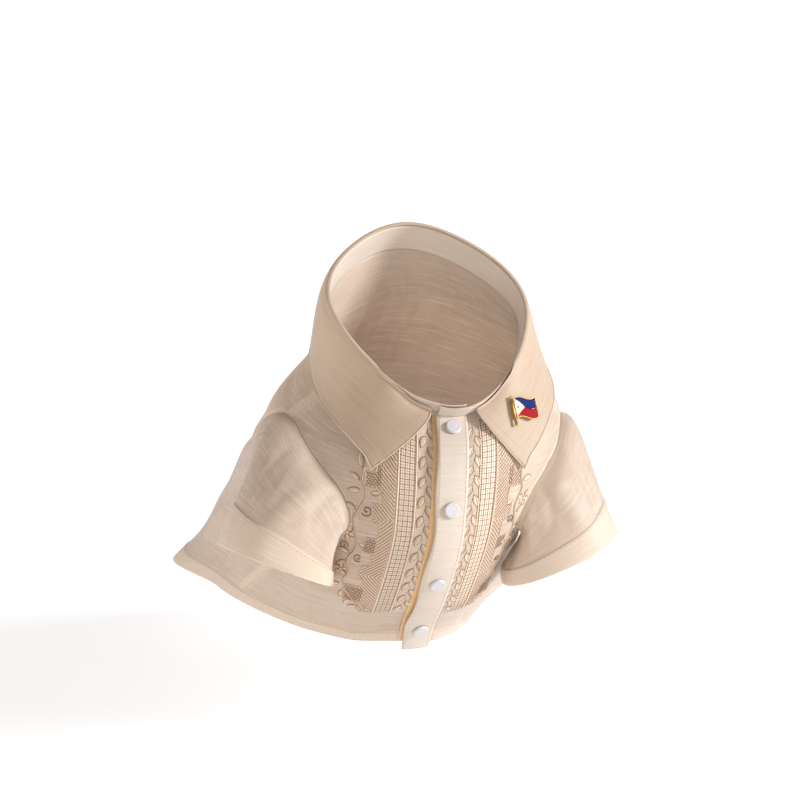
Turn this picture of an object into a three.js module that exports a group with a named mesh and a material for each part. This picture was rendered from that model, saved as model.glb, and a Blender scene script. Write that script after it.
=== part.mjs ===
// A short-sleeved barong shirt for a small four-legged wearer, in the hollow form it keeps when the wearer sits in it.
// Millimetres. +X is the wearer's left, -Y the wearer's chest and +Z up. The origin is the middle of the neck opening.
// The shirt has a button band with four snaps, a pointed collar on a stand, set-in sleeves and a turned-up hem all round.
import * as THREE from 'three';

// Cloth and seams
const clothThickness = 1.2;
const foldedThickness = 2.0; // two layers: hems and button bands
const seamGap = 0.75; // between two pieces at a seam
const degree = Math.PI / 180;

// The body from the neck seam (v = 0) to the hem (v = 1). Each section is a tilted closed curve
// through a front point on the chest and a back point on the spine.
const bodySections = [
  { v: 0.00, frontX: -4, frontY: -48, frontZ: -57, backX: 2, backY: 70, backZ: 36, halfWidth: 66, slim: 0.28, full: -0.45, sideRise: 0 },
  { v: 0.12, frontX: -9, frontY: -64, frontZ: -72, backX: 13, backY: 80, backZ: 1, halfWidth: 77, slim: 0.14, full: -0.30, sideRise: -3 },
  { v: 0.22, frontX: -13, frontY: -74, frontZ: -88, backX: 0, backY: 92, backZ: -32, halfWidth: 100, slim: 0.10, full: -0.50, sideRise: -7 },
  { v: 0.34, frontX: -17, frontY: -82, frontZ: -108, backX: -8, backY: 111, backZ: -66, halfWidth: 101, slim: 0.10, full: -0.20, sideRise: -4 },
  { v: 0.46, frontX: -20, frontY: -84, frontZ: -130, backX: -18, backY: 134, backZ: -97, halfWidth: 98, slim: 0.10, full: 0.04, sideRise: 0 },
  { v: 0.60, frontX: -23, frontY: -76, frontZ: -156, backX: -25, backY: 158, backZ: -124, halfWidth: 93, slim: 0.09, full: 0.28, sideRise: 0 },
  { v: 0.76, frontX: -24, frontY: -59, frontZ: -182, backX: -33, backY: 184, backZ: -156, halfWidth: 92, slim: 0.04, full: 0.46, sideRise: 2 },
  { v: 0.90, frontX: -22, frontY: -38, frontZ: -202, backX: -42, backY: 207, backZ: -193, halfWidth: 91, slim: 0.00, full: 0.64, sideRise: 6 },
  { v: 1.00, frontX: -21, frontY: -25, frontZ: -220, backX: -58, backY: 230, backZ: -222, halfWidth: 90, slim: 0.00, full: 0.80, sideRise: 10 },
];
const bodyRoll = 0.055; // the wearer's left side sits a little lower

// Where the seams run, as angles round the body from the chest centre
const shoulderSeamAngle = { neck: 72, armhole: 80 };
const armhole = { top: 0.20, bottom: 0.54, topAngle: 80, bottomAngle: 58, frontReach: 27, backReach: 24 };
const sideSeamHemAngle = 80;

// Soft folds of the body cloth: a ridge (height > 0) or a trough, at an angle and a height on the body
const bodyFolds = [
  { angle: -118, v: 0.50, angleReach: 9, vReach: 0.26, height: 2.6 },
  { angle: -132, v: 0.66, angleReach: 8, vReach: 0.30, height: -2.4 },
  { angle: -148, v: 0.80, angleReach: 9, vReach: 0.24, height: 2.2 },
  { angle: -98, v: 0.86, angleReach: 8, vReach: 0.20, height: -2.2 },
  { angle: 112, v: 0.54, angleReach: 9, vReach: 0.24, height: 2.2 },
  { angle: 127, v: 0.72, angleReach: 8, vReach: 0.26, height: -2.6 },
  { angle: 143, v: 0.84, angleReach: 9, vReach: 0.22, height: 2.4 },
  { angle: 96, v: 0.88, angleReach: 8, vReach: 0.18, height: -1.8 },
  { angle: 172, v: 0.86, angleReach: 10, vReach: 0.24, height: -1.8 },
  { angle: -50, v: 0.80, angleReach: 8, vReach: 0.16, height: 1.4 },
  { angle: 48, v: 0.78, angleReach: 8, vReach: 0.16, height: -1.6 },
  { angle: 78, v: 0.84, angleReach: 20, vReach: 0.22, height: 8 }, // the side under the left sleeve
  { angle: 60, v: 0.88, angleReach: 16, vReach: 0.13, height: 4.5 },
];

// Button band
const bandWidth = 21;
const underBandReveal = 3; // how far the under band shows past the top band
const bandClearance = 0.7; // between the two bands
const snapHeights = [0.052, 0.353, 0.639, 0.932];
const snapSeats = [0.5, 0.3, 0.3, 0.7]; // off the curved band
const snapRadius = 5.35;

// Sleeves: the cuff opening of each, and the folds between shoulder and cuff
const sleeves = [
  { name: 'sleeve_right', side: -1, cuffX: -126.5, cuffY: -43.5, cuffZ: -148, longRadius: 39, shortRadius: 27, turn: 20, rise: 21, pitch: 15 },
  { name: 'sleeve_left', side: 1, cuffX: 76.3, cuffY: -46.3, cuffZ: -163, longRadius: 42, shortRadius: 27, turn: -4, rise: 22, pitch: 5 },
];
const capPuff = { shoulder: 15, armpit: 15 };
const underarmTurn = 24; // the cloth under the arm swings round to the inside of the cuff
const sleeveFolds = [
  { around: 62, down: 0.55, aroundReach: 16, downReach: 0.45, height: 3.2 },
  { around: 30, down: 0.60, aroundReach: 15, downReach: 0.40, height: -3.0 },
  { around: 100, down: 0.45, aroundReach: 14, downReach: 0.34, height: -2.4 },
  { around: 150, down: 0.55, aroundReach: 16, downReach: 0.40, height: -1.8 },
  { around: 305, down: 0.55, aroundReach: 20, downReach: 0.40, height: 2.6 },
  { around: 255, down: 0.60, aroundReach: 18, downReach: 0.35, height: -2.2 },
];

// Collar
const standHeight = { front: 11, back: 22 };
const standLean = 0.06;
const leafFold = { frontAngle: 18.5, frontDrop: 5, roll: { front: { out: 16, up: 13 }, side: { out: 9, up: 6 }, back: { out: 13, up: 6 } } };
// The leaf's free edge: its height on the body at each angle away from the chest, straight from point to shoulder
const leafRim = [
  { away: 33, v: 0.238 }, { away: 37, v: 0.208 }, { away: 44, v: 0.188 }, { away: 52, v: 0.173 }, { away: 60, v: 0.163 },
  { away: 69, v: 0.156 }, { away: 78, v: 0.150 }, { away: 88, v: 0.142 }, { away: 102, v: 0.131 }, { away: 130, v: 0.122 }, { away: 180, v: 0.120 },
];
const leafLift = 2.4; // the free edge over the body cloth

// Flag pin on the wearer's left collar point
const pin = { around: 0.945, down: 0.48, tilt: -5, width: 18, height: 14, plate: 1.2, poleLength: 20.5, poleRadius: 1.1, wave: 1.1, standOff: 0.9 };

// How finely each piece is divided
const grid = { across: 8, aroundBack: 26, armRows: 12, collarColumns: 40, bandRows: 22 };

const mix = (a, b, t) => a + (b - a) * t;
const smooth = (t) => {
  const x = Math.min(1, Math.max(0, t));
  return x * x * (3 - 2 * x);
};

// One column of a table at v, or at the value of another column, as a smooth curve through its rows.
function column(rows, key, v, by = 'v') {
  let i = 0;
  while (i < rows.length - 2 && v > rows[i + 1][by]) i += 1;
  const slope = (k) => {
    const before = rows[Math.max(0, k - 1)];
    const after = rows[Math.min(rows.length - 1, k + 1)];
    return (after[key] - before[key]) / (after[by] - before[by]);
  };
  const from = rows[i];
  const to = rows[i + 1];
  const span = to[by] - from[by];
  const t = (v - from[by]) / span;
  const h = [2 * t ** 3 - 3 * t ** 2 + 1, t ** 3 - 2 * t ** 2 + t, -2 * t ** 3 + 3 * t ** 2, t ** 3 - t ** 2];
  return h[0] * from[key] + h[1] * span * slope(i) + h[2] * to[key] + h[3] * span * slope(i + 1);
}

// A point of the body's inner face without its folds. angle is in degrees: 0 at the chest, 90 at the wearer's left.
function bodyBase(angle, v) {
  const at = (key) => column(bodySections, key, v);
  const front = new THREE.Vector3(at('frontX'), at('frontY'), at('frontZ'));
  const back = new THREE.Vector3(at('backX'), at('backY'), at('backZ'));
  const depth = back.clone().sub(front).multiplyScalar(0.5);
  const across = new THREE.Vector3(depth.y, -depth.x, 0).normalize().setZ(-bodyRoll);
  const c = Math.cos(angle * degree);
  const s = Math.sin(angle * degree);
  const wide = 1 - at('slim') * c + (c < 0 ? at('full') * c * c : 0);
  const point = front.add(back).multiplyScalar(0.5)
    .addScaledVector(across, at('halfWidth') * s * wide)
    .addScaledVector(depth, -c);
  point.z += at('sideRise') * s * s;
  return point;
}

// The outward direction of the body at a point.
function bodyOut(angle, v) {
  const low = Math.max(0, v - 0.01);
  const high = Math.min(1, v + 0.01);
  const round = bodyBase(angle + 0.5, v).sub(bodyBase(angle - 0.5, v));
  const down = bodyBase(angle, high).sub(bodyBase(angle, low));
  return down.cross(round).normalize();
}

function bodyFoldHeight(angle, v) {
  let height = 0;
  for (const fold of bodyFolds) {
    const turn = ((angle - fold.angle + 540) % 360) - 180;
    height += fold.height * Math.exp(-((turn / fold.angleReach) ** 2) - ((v - fold.v) / fold.vReach) ** 2);
  }
  return height;
}

// A point of the body cloth, lifted off its inner face.
function bodyPoint(angle, v, lift) {
  return bodyBase(angle, v).addScaledVector(bodyOut(angle, v), bodyFoldHeight(angle, v) + lift);
}

// Degrees round the body that a length in millimetres takes, near the chest centre or at any angle.
function degreesFor(length, angle, v) {
  return length / bodyBase(angle + 0.5, v).distanceTo(bodyBase(angle - 0.5, v));
}

// How far the wearer's right front dips to pass under the top band.
const bandDip = foldedThickness + bandClearance;
const dip = (angle) => bandDip * smooth((angle + 30) / 18);

// A closed wall from a grid of points on its inner and outer face. A round wall joins its last column to its first.
function wall(name, colour, rows, columns, pointAt, round = false) {
  const positions = [];
  for (const outer of [false, true]) {
    for (let i = 0; i <= rows; i += 1) {
      for (let j = 0; j < (round ? columns : columns + 1); j += 1) positions.push(...pointAt(i / rows, j / columns, outer).toArray());
    }
  }
  const wide = round ? columns : columns + 1;
  const at = (i, j, outer) => (outer ? (rows + 1) * wide : 0) + i * wide + (round ? j % columns : j);
  const faces = [];
  const quad = (a, b, c, d) => faces.push(a, b, c, a, c, d);
  for (let i = 0; i < rows; i += 1) {
    for (let j = 0; j < columns; j += 1) {
      quad(at(i, j, true), at(i + 1, j, true), at(i + 1, j + 1, true), at(i, j + 1, true));
      quad(at(i, j, false), at(i, j + 1, false), at(i + 1, j + 1, false), at(i + 1, j, false));
    }
  }
  for (let j = 0; j < columns; j += 1) {
    quad(at(0, j, false), at(0, j, true), at(0, j + 1, true), at(0, j + 1, false));
    quad(at(rows, j, true), at(rows, j, false), at(rows, j + 1, false), at(rows, j + 1, true));
  }
  for (let i = 0; i < rows && !round; i += 1) {
    quad(at(i, 0, true), at(i, 0, false), at(i + 1, 0, false), at(i + 1, 0, true));
    quad(at(i, columns, false), at(i, columns, true), at(i + 1, columns, true), at(i + 1, columns, false));
  }
  // Faces turned inside out are turned back, so that a grid may run either way round.
  let volume = 0;
  for (let k = 0; k < faces.length; k += 3) {
    const [a, b, c] = [0, 1, 2].map((n) => new THREE.Vector3().fromArray(positions, 3 * faces[k + n]));
    volume += a.dot(b.cross(c));
  }
  if (volume < 0) faces.reverse();
  const geometry = new THREE.BufferGeometry();
  geometry.setAttribute('position', new THREE.Float32BufferAttribute(positions, 3));
  geometry.setIndex(faces);
  geometry.computeVertexNormals();
  return named(name, geometry, colour);
}

function named(name, geometry, material) {
  const mesh = new THREE.Mesh(geometry, material);
  mesh.name = name;
  return mesh;
}

const materials = {
  sheer: new THREE.MeshStandardMaterial({ color: 0xe3d3c0, roughness: 0.85, metalness: 0 }),
  crisp: new THREE.MeshStandardMaterial({ color: 0xe8d2b4, roughness: 0.8, metalness: 0 }),
  snap: new THREE.MeshStandardMaterial({ color: 0xf3f0f0, roughness: 0.3, metalness: 0 }),
  gold: new THREE.MeshStandardMaterial({ color: 0xcfa24a, roughness: 0.3, metalness: 1 }),
};

// The armhole's rim: turn runs from the shoulder (0) past the front (90), the armpit (180) and the back (270).
function armholeAt(turn) {
  const middle = (armhole.top + armhole.bottom) / 2;
  const half = (armhole.bottom - armhole.top) / 2;
  const v = middle - half * Math.cos(turn * degree);
  const centre = mix(armhole.topAngle, armhole.bottomAngle, (v - armhole.top) / (2 * half));
  const s = Math.sin(turn * degree);
  return { v, angle: centre - s * (s > 0 ? armhole.frontReach : armhole.backReach) };
}

// The rows of a body panel: t runs along its seam from the neck to the hem, with the armhole in between.
const rowPlan = { shoulder: 3, hemRows: 5 };
const panelRows = rowPlan.shoulder + grid.armRows + rowPlan.hemRows;
const hemV = 0.955; // where the turned-up hem ends
function seamAt(t, back) {
  const row = t * panelRows;
  if (row <= rowPlan.shoulder) {
    const share = row / rowPlan.shoulder;
    return { v: armhole.top * share, angle: mix(shoulderSeamAngle.neck, shoulderSeamAngle.armhole, share) };
  }
  if (row <= rowPlan.shoulder + grid.armRows) {
    const share = (row - rowPlan.shoulder) / grid.armRows;
    return armholeAt(back ? 360 - 180 * share : 180 * share);
  }
  const share = (row - rowPlan.shoulder - grid.armRows) / rowPlan.hemRows;
  const stops = [armhole.bottom, 0.68, 0.78, 0.88, hemV, 1];
  const i = Math.min(stops.length - 2, Math.floor(share * rowPlan.hemRows));
  const v = mix(stops[i], stops[i + 1], share * rowPlan.hemRows - i);
  const down = (v - armhole.bottom) / (1 - armhole.bottom);
  return { v, angle: mix(armhole.bottomAngle, sideSeamHemAngle, down) };
}

const clothAt = (v) => (v > hemV - 0.001 ? foldedThickness : clothThickness);

// One front panel, from the button band to the shoulder seam, armhole and side seam.
function frontPanel(name, side) {
  const inner = (v) => (side > 0 ? bandWidth / 2 + seamGap : -(bandWidth / 2 + underBandReveal + seamGap));
  return wall(name, materials.sheer, panelRows, grid.across, (t, share, outer) => {
    const seam = seamAt(t, false);
    const start = Math.abs(inner(seam.v)) * degreesFor(1, 0, seam.v);
    const end = seam.angle - degreesFor(seamGap / 2, seam.angle, seam.v);
    const angle = side * mix(start, end, side > 0 ? share : 1 - share);
    const lift = (outer ? clothAt(seam.v) : 0) - (side < 0 ? dip(angle) : 0);
    return bodyPoint(angle, seam.v, lift);
  });
}

function backPanel() {
  return wall('back', materials.sheer, panelRows, grid.aroundBack, (t, share, outer) => {
    const seam = seamAt(t, true);
    const start = seam.angle + degreesFor(seamGap / 2, seam.angle, seam.v);
    const angle = mix(start, 360 - start, share);
    return bodyPoint(angle, seam.v, outer ? clothAt(seam.v) : 0);
  });
}

// The soft waves of the top band between its snaps.
function bandWave(v, share) {
  const between = Math.sin(Math.PI * (v - snapHeights[0]) / (snapHeights[1] - snapHeights[0]));
  return 0.9 * between ** 2 * (0.4 + 0.6 * (1 - share));
}

function band(name, from, to, lift, wave) {
  const longer = name === 'placket_top' ? 1.03 : 1;
  return wall(name, materials.crisp, grid.bandRows, 3, (t, share, outer) => {
    const v = Math.min(1, t * longer);
    const past = Math.max(0, t * longer - 1);
    const angle = mix(from, to, share) * degreesFor(1, 0, v);
    const ripple = wave ? bandWave(v, share) : 0;
    const point = bodyPoint(angle, v, lift + ripple + (outer ? foldedThickness : 0));
    const along = bodyBase(0, 1).sub(bodyBase(0, 0.98)).normalize();
    return point.addScaledVector(along, past * 200);
  });
}

// The collar stand rises from the neck seam along the neck.
const neckAxis = new THREE.Vector3(0, bodySections[0].frontZ - bodySections[0].backZ, bodySections[0].backY - bodySections[0].frontY).normalize();
function standRise(angle) {
  const back = (1 - Math.cos(angle * degree)) / 2;
  return mix(standHeight.front, standHeight.back, back);
}
// How far the cut edge of the body cloth reaches up the stand.
function seamClearance(angle) {
  return foldedThickness * Math.max(0, bodyOut(angle, 0).dot(neckAxis)) + 1.5 * seamGap;
}
// A point beside the neck: out from the inner face of the stand, and up from the neck seam.
function neckPoint(angle, out, up) {
  return bodyBase(angle, 0).addScaledVector(neckAxis, up).addScaledVector(standOut(angle), out + standLean * up);
}
function standOut(angle) {
  const centre = bodyBase(0, 0).add(bodyBase(180, 0)).multiplyScalar(0.5);
  const out = bodyBase(angle, 0).sub(centre);
  return out.addScaledVector(neckAxis, -out.dot(neckAxis)).normalize();
}

function collarStand() {
  const from = -bandWidth / 2 * degreesFor(1, 0, 0);
  const to = 360 + (bandWidth / 2 - 2) * degreesFor(1, 0, 0);
  return wall('collar_stand', materials.crisp, 2, grid.collarColumns + 4, (t, share, outer) => {
    const angle = mix(from, to, share);
    // The wearer's right end tucks in behind the left one.
    const tuck = -2.6 * smooth((angle - 325) / 22);
    return neckPoint(angle, tuck + (outer ? clothThickness : 0), mix(standRise(angle), seamClearance(angle), t));
  });
}

// The leaf rolls over the top of the stand and falls straight to the shoulders, with two points in front.
// around runs from the wearer's right point (0) past the back to the left point (1).
function leafEdge(around) {
  const first = leafRim[0].away;
  const angle = mix(-first, -(360 - first), around);
  return { angle, v: column(leafRim, 'v', Math.min(-angle, 360 + angle), 'away') };
}
function leafAt(around, share) {
  const last = leafRows.length - 1;
  let row = 1;
  while (row < last - 1 && leafRows[row + 1] < share) row += 1;
  const t = (share - leafRows[row]) / (leafRows[row + 1] - leafRows[row]);
  return leafSurface(around, row, clothThickness).lerp(leafSurface(around, row + 1, clothThickness), t);
}
function leafSurface(around, row, lift) {
  const angle = mix(-leafFold.frontAngle, -(360 - leafFold.frontAngle), around);
  const c = Math.cos(angle * degree);
  // Towards the throat the roll leaves the stand and drops in front of it.
  const off = smooth((c - 0.5) / 0.15);
  const drop = leafFold.frontDrop * smooth((c - 0.66) / 0.25);
  const top = standRise(angle) - drop;
  const clear = clothThickness + seamGap;
  if (row === 0) return neckPoint(angle, mix(0, clear, off) + lift * 0.3 * off, top + seamGap + 0.2 + lift);
  const fold = neckPoint(angle, clear + lift + 0.3 * off, top + seamGap + 0.2 + lift * 0.4 - 1.2 * off);
  const edge = leafEdge(around);
  const fall = bodyPoint(edge.angle, edge.v, leafLift + clothThickness + lift);
  const { front, side, back } = leafFold.roll;
  const rollAt = (key) => mix(side[key], c > 0 ? front[key] : back[key], c * c);
  const roll = neckPoint(angle, rollAt('out') + lift, rollAt('up') - drop);
  return new THREE.QuadraticBezierCurve3(fold, roll, fall).getPoint(leafRows[row]);
}
const leafRows = [0, 0, 0.14, 0.32, 0.54, 0.78, 1];
function collarLeaf() {
  return wall('collar_leaf', materials.crisp, leafRows.length - 1, grid.collarColumns, (t, around, outer) => (
    leafSurface(around, Math.round(t * (leafRows.length - 1)), outer ? clothThickness : 0)
  ));
}

// One sleeve: each line of cloth leaves the armhole outwards and bends down to the cuff.
// around runs from the shoulder (0) past the front (90), the armpit (180) and the back (270).
function sleeveShape(sleeve) {
  const turn = sleeve.turn * degree;
  const rise = sleeve.rise * degree;
  const outward = new THREE.Vector3(sleeve.side * Math.cos(turn) * Math.cos(rise), Math.sin(turn) * Math.cos(rise), Math.sin(rise));
  const forward = new THREE.Vector3(sleeve.side * Math.sin(turn), -Math.cos(turn), Math.tan(sleeve.pitch * degree));
  forward.addScaledVector(outward, -forward.dot(outward)).normalize();
  const up = new THREE.Vector3().crossVectors(outward, forward).multiplyScalar(-sleeve.side);
  if (up.z < 0) up.negate();
  const centre = new THREE.Vector3(sleeve.cuffX, sleeve.cuffY, sleeve.cuffZ);
  const rim = (turnAt) => {
    const place = armholeAt(turnAt);
    return bodyPoint(sleeve.side * place.angle, place.v, 0);
  };
  const middle = rim(0).add(rim(90)).add(rim(180)).add(rim(270)).multiplyScalar(0.25);
  const line = (around, share) => {
    const place = armholeAt(around);
    const out = bodyOut(sleeve.side * place.angle, place.v);
    const along = rim(around + 2).sub(rim(around - 2)).normalize();
    const inward = along.clone().cross(out).normalize();
    const edge = rim(around);
    if (inward.dot(middle.clone().sub(edge)) < 0) inward.negate();
    const start = edge.addScaledVector(inward, seamGap + clothThickness);
    const low = (1 - Math.cos(around * degree)) / 2;
    const cuffTurn = (around + underarmTurn * low) * degree;
    const cuff = centre.clone()
      .addScaledVector(outward, sleeve.longRadius * Math.cos(cuffTurn))
      .addScaledVector(forward, sleeve.shortRadius * Math.sin(cuffTurn));
    const reach = start.distanceTo(cuff);
    const first = start.clone().addScaledVector(out, mix(capPuff.shoulder, capPuff.armpit, low));
    const second = cuff.clone().addScaledVector(up, 0.45 * reach);
    return new THREE.CubicBezierCurve3(start, first, second, cuff).getPoint(share);
  };
  return (around, share, lift) => {
    const low = Math.max(0, share - 0.02);
    const high = Math.min(1, share + 0.02);
    const round = line(around + 1, share).sub(line(around - 1, share));
    const down = line(around, high).sub(line(around, low));
    const normal = round.cross(down).multiplyScalar(sleeve.side).normalize();
    let fold = 0;
    for (const f of sleeveFolds) {
      const off = ((around - f.around + 540) % 360) - 180;
      fold += f.height * Math.exp(-((off / f.aroundReach) ** 2) - ((share - f.down) / f.downReach) ** 2);
    }
    return line(around, share).addScaledVector(normal, fold * smooth(share / 0.3) + lift);
  };
}

function sleeveWall(sleeve) {
  const shape = sleeveShape(sleeve);
  const hemStart = 0.8;
  const stops = [0, 0.07, 0.17, 0.3, 0.45, 0.6, 0.72, hemStart, 0.9, 1];
  return wall(sleeve.name, materials.sheer, stops.length - 1, 2 * grid.armRows, (t, turn, outer) => {
    const share = stops[Math.round(t * (stops.length - 1))];
    const thick = share > hemStart - 0.001 ? foldedThickness : clothThickness;
    return shape(360 * (sleeve.side < 0 ? turn : 1 - turn), share, outer ? thick : 0);
  }, true);
}

// A snap cap: a low dome on the top band.
function snapCap(name, v, clear) {
  const profile = [[0, 0], [snapRadius - 0.5, 0], [snapRadius, 0.5], [snapRadius - 0.3, 1.2], [snapRadius - 1.6, 1.7], [0, 2.0]];
  const geometry = new THREE.LatheGeometry(profile.map(([x, y]) => new THREE.Vector2(x, y)), 20);
  const cap = named(name, geometry, materials.snap);
  const out = bodyOut(0, v);
  const seat = foldedThickness + clear + bandWave(v, 0.5);
  cap.position.copy(bodyPoint(0, v, seat));
  cap.quaternion.setFromUnitVectors(new THREE.Vector3(0, 1, 0), out);
  return cap;
}

// The flag pin lies flat on the leaf: its pole near the throat, its cloth flying towards the shoulder.
function flagPin() {
  const seat = leafAt(pin.around, pin.down);
  const across = leafAt(pin.around + 0.03, pin.down).sub(leafAt(pin.around - 0.03, pin.down)).normalize();
  const down = leafAt(pin.around, pin.down + 0.1).sub(leafAt(pin.around, pin.down - 0.1)).normalize();
  const out = down.clone().cross(across).normalize();
  if (out.y > 0) out.negate();
  const up = new THREE.Vector3(0, 0, 1).addScaledVector(out, -out.z).normalize();
  const fly = up.clone().cross(out).normalize();
  const frame = new THREE.Group();
  frame.quaternion.setFromRotationMatrix(new THREE.Matrix4().makeBasis(fly, up, out));
  frame.position.copy(seat).addScaledVector(out, pin.standOff);
  frame.rotateZ(pin.tilt * degree);
  const pole = named('pin_pole', new THREE.CylinderGeometry(pin.poleRadius, pin.poleRadius, pin.poleLength, 12), materials.gold);
  pole.position.z = pin.poleRadius;
  const wave = (x) => pin.wave * Math.sin(2 * Math.PI * x / pin.width);
  const shape = new THREE.Shape();
  const start = pin.poleRadius + 0.3;
  const steps = 10;
  for (let i = 0; i <= steps; i += 1) {
    const x = pin.width * i / steps;
    shape[i === 0 ? 'moveTo' : 'lineTo'](start + x, pin.poleLength / 2 - 1.6 + wave(x));
  }
  for (let i = steps; i >= 0; i -= 1) {
    const x = pin.width * i / steps;
    shape.lineTo(start + x, pin.poleLength / 2 - 1.6 - pin.height + wave(x));
  }
  const flag = named('pin_flag', new THREE.ExtrudeGeometry(shape, { depth: pin.plate, bevelEnabled: false }), materials.gold);
  frame.add(pole, flag);
  return frame;
}

const shirt = new THREE.Group();
shirt.add(
  backPanel(),
  frontPanel('front_right', -1),
  frontPanel('front_left', 1),
  band('placket_top', -bandWidth / 2, bandWidth / 2, 0, true),
  band('placket_under', -bandWidth / 2 - underBandReveal, bandWidth / 2 - 3, -bandDip, false),
  collarStand(),
  collarLeaf(),
  ...sleeves.map(sleeveWall),
  ...snapHeights.map((v, i) => snapCap(`snap_${i + 1}`, v, snapSeats[i])),
  flagPin(),
);

export default shirt;
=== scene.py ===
# A short-sleeved barong shirt in the hollow form it keeps when worn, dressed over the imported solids.
# Tables and surfaces are in millimetres, Blender is in metres. +X is the wearer's left, -Y the chest, +Z up.
import math

import bpy
import numpy as np
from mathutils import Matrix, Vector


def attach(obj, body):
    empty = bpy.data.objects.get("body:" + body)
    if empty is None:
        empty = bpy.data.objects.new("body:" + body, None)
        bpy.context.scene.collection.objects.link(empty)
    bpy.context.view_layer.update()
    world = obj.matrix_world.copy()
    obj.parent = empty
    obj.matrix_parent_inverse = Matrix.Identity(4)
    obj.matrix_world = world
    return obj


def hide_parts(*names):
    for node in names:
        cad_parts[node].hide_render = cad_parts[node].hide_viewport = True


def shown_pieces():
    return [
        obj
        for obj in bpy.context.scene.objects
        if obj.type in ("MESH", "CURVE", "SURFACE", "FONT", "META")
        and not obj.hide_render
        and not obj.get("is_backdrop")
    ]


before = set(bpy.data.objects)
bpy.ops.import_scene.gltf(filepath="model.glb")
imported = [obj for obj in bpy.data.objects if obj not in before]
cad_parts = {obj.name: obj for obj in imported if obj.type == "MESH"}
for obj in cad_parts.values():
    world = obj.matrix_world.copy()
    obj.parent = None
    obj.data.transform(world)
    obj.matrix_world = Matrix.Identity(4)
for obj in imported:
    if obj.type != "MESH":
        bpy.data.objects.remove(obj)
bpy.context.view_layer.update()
print("frame loaded:", len(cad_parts), "nodes")

mm = 0.001
clothThickness = 1.2    # the solids' wall, whose outer face the cloth lies on
foldedThickness = 2.0   # and at hems and button bands
seamGap = 0.75


def mix(a, b, t):
    return a + (b - a) * t


def smooth(t):
    x = np.clip(t, 0, 1)
    return x * x * (3 - 2 * x)


def unit(a):
    return a / np.maximum(np.linalg.norm(a, axis=-1, keepdims=True), 1e-9)


def each(a):
    return np.asarray(a, float)[..., None]


# the body, from the neck seam (v = 0) to the hem (v = 1)
bodySections = {
    "v":         [0.00, 0.12, 0.22, 0.34, 0.46, 0.60, 0.76, 0.90, 1.00],
    "frontX":    [-4, -9, -13, -17, -20, -23, -24, -22, -21],
    "frontY":    [-48, -64, -74, -82, -84, -76, -59, -38, -25],
    "frontZ":    [-57, -72, -88, -108, -130, -156, -182, -202, -220],
    "backX":     [2, 13, 0, -8, -18, -25, -33, -42, -58],
    "backY":     [70, 80, 92, 111, 134, 158, 184, 207, 230],
    "backZ":     [36, 1, -32, -66, -97, -124, -156, -193, -222],
    "halfWidth": [66, 77, 100, 101, 98, 93, 92, 91, 90],
    "slim":      [0.28, 0.14, 0.10, 0.10, 0.10, 0.09, 0.04, 0.00, 0.00],
    "full":      [-0.45, -0.30, -0.50, -0.20, 0.04, 0.28, 0.46, 0.64, 0.80],
    "sideRise":  [0, -3, -7, -4, 0, 0, 2, 6, 10],
}
body = {
    "roll": 0.055,            # the wearer's left side sits a little lower
    "hemV": 0.955,            # where the turned-up hem ends
    "seamHemAngle": 80,
    "shoulderNeck": 72, "shoulderArm": 80,
    "armTop": 0.20, "armBottom": 0.54, "armTopAngle": 80, "armBottomAngle": 58, "armFront": 27, "armBack": 24,
    "thickness": 0.7, "creaseStrength": 1.5,
}
# soft folds, as in the solids: angle, v, reach round, reach down, height
bodyFolds = [
    (-118, 0.50, 9, 0.26, 2.6), (-132, 0.66, 8, 0.30, -2.4), (-148, 0.80, 9, 0.24, 2.2), (-98, 0.86, 8, 0.20, -2.2),
    (112, 0.54, 9, 0.24, 2.2), (127, 0.72, 8, 0.26, -2.6), (143, 0.84, 9, 0.22, 2.4), (96, 0.88, 8, 0.18, -1.8),
    (172, 0.86, 10, 0.24, -1.8), (-50, 0.80, 8, 0.16, 1.4), (48, 0.78, 8, 0.16, -1.6), (78, 0.84, 20, 0.22, 11.5), (60, 0.88, 16, 0.13, 6.5), (74, 0.69, 13, 0.09, 3.2),
    (52, 0.668, 9, 0.05, -3.0),  # pressed in by the left cuff's lowest corner
]
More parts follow.
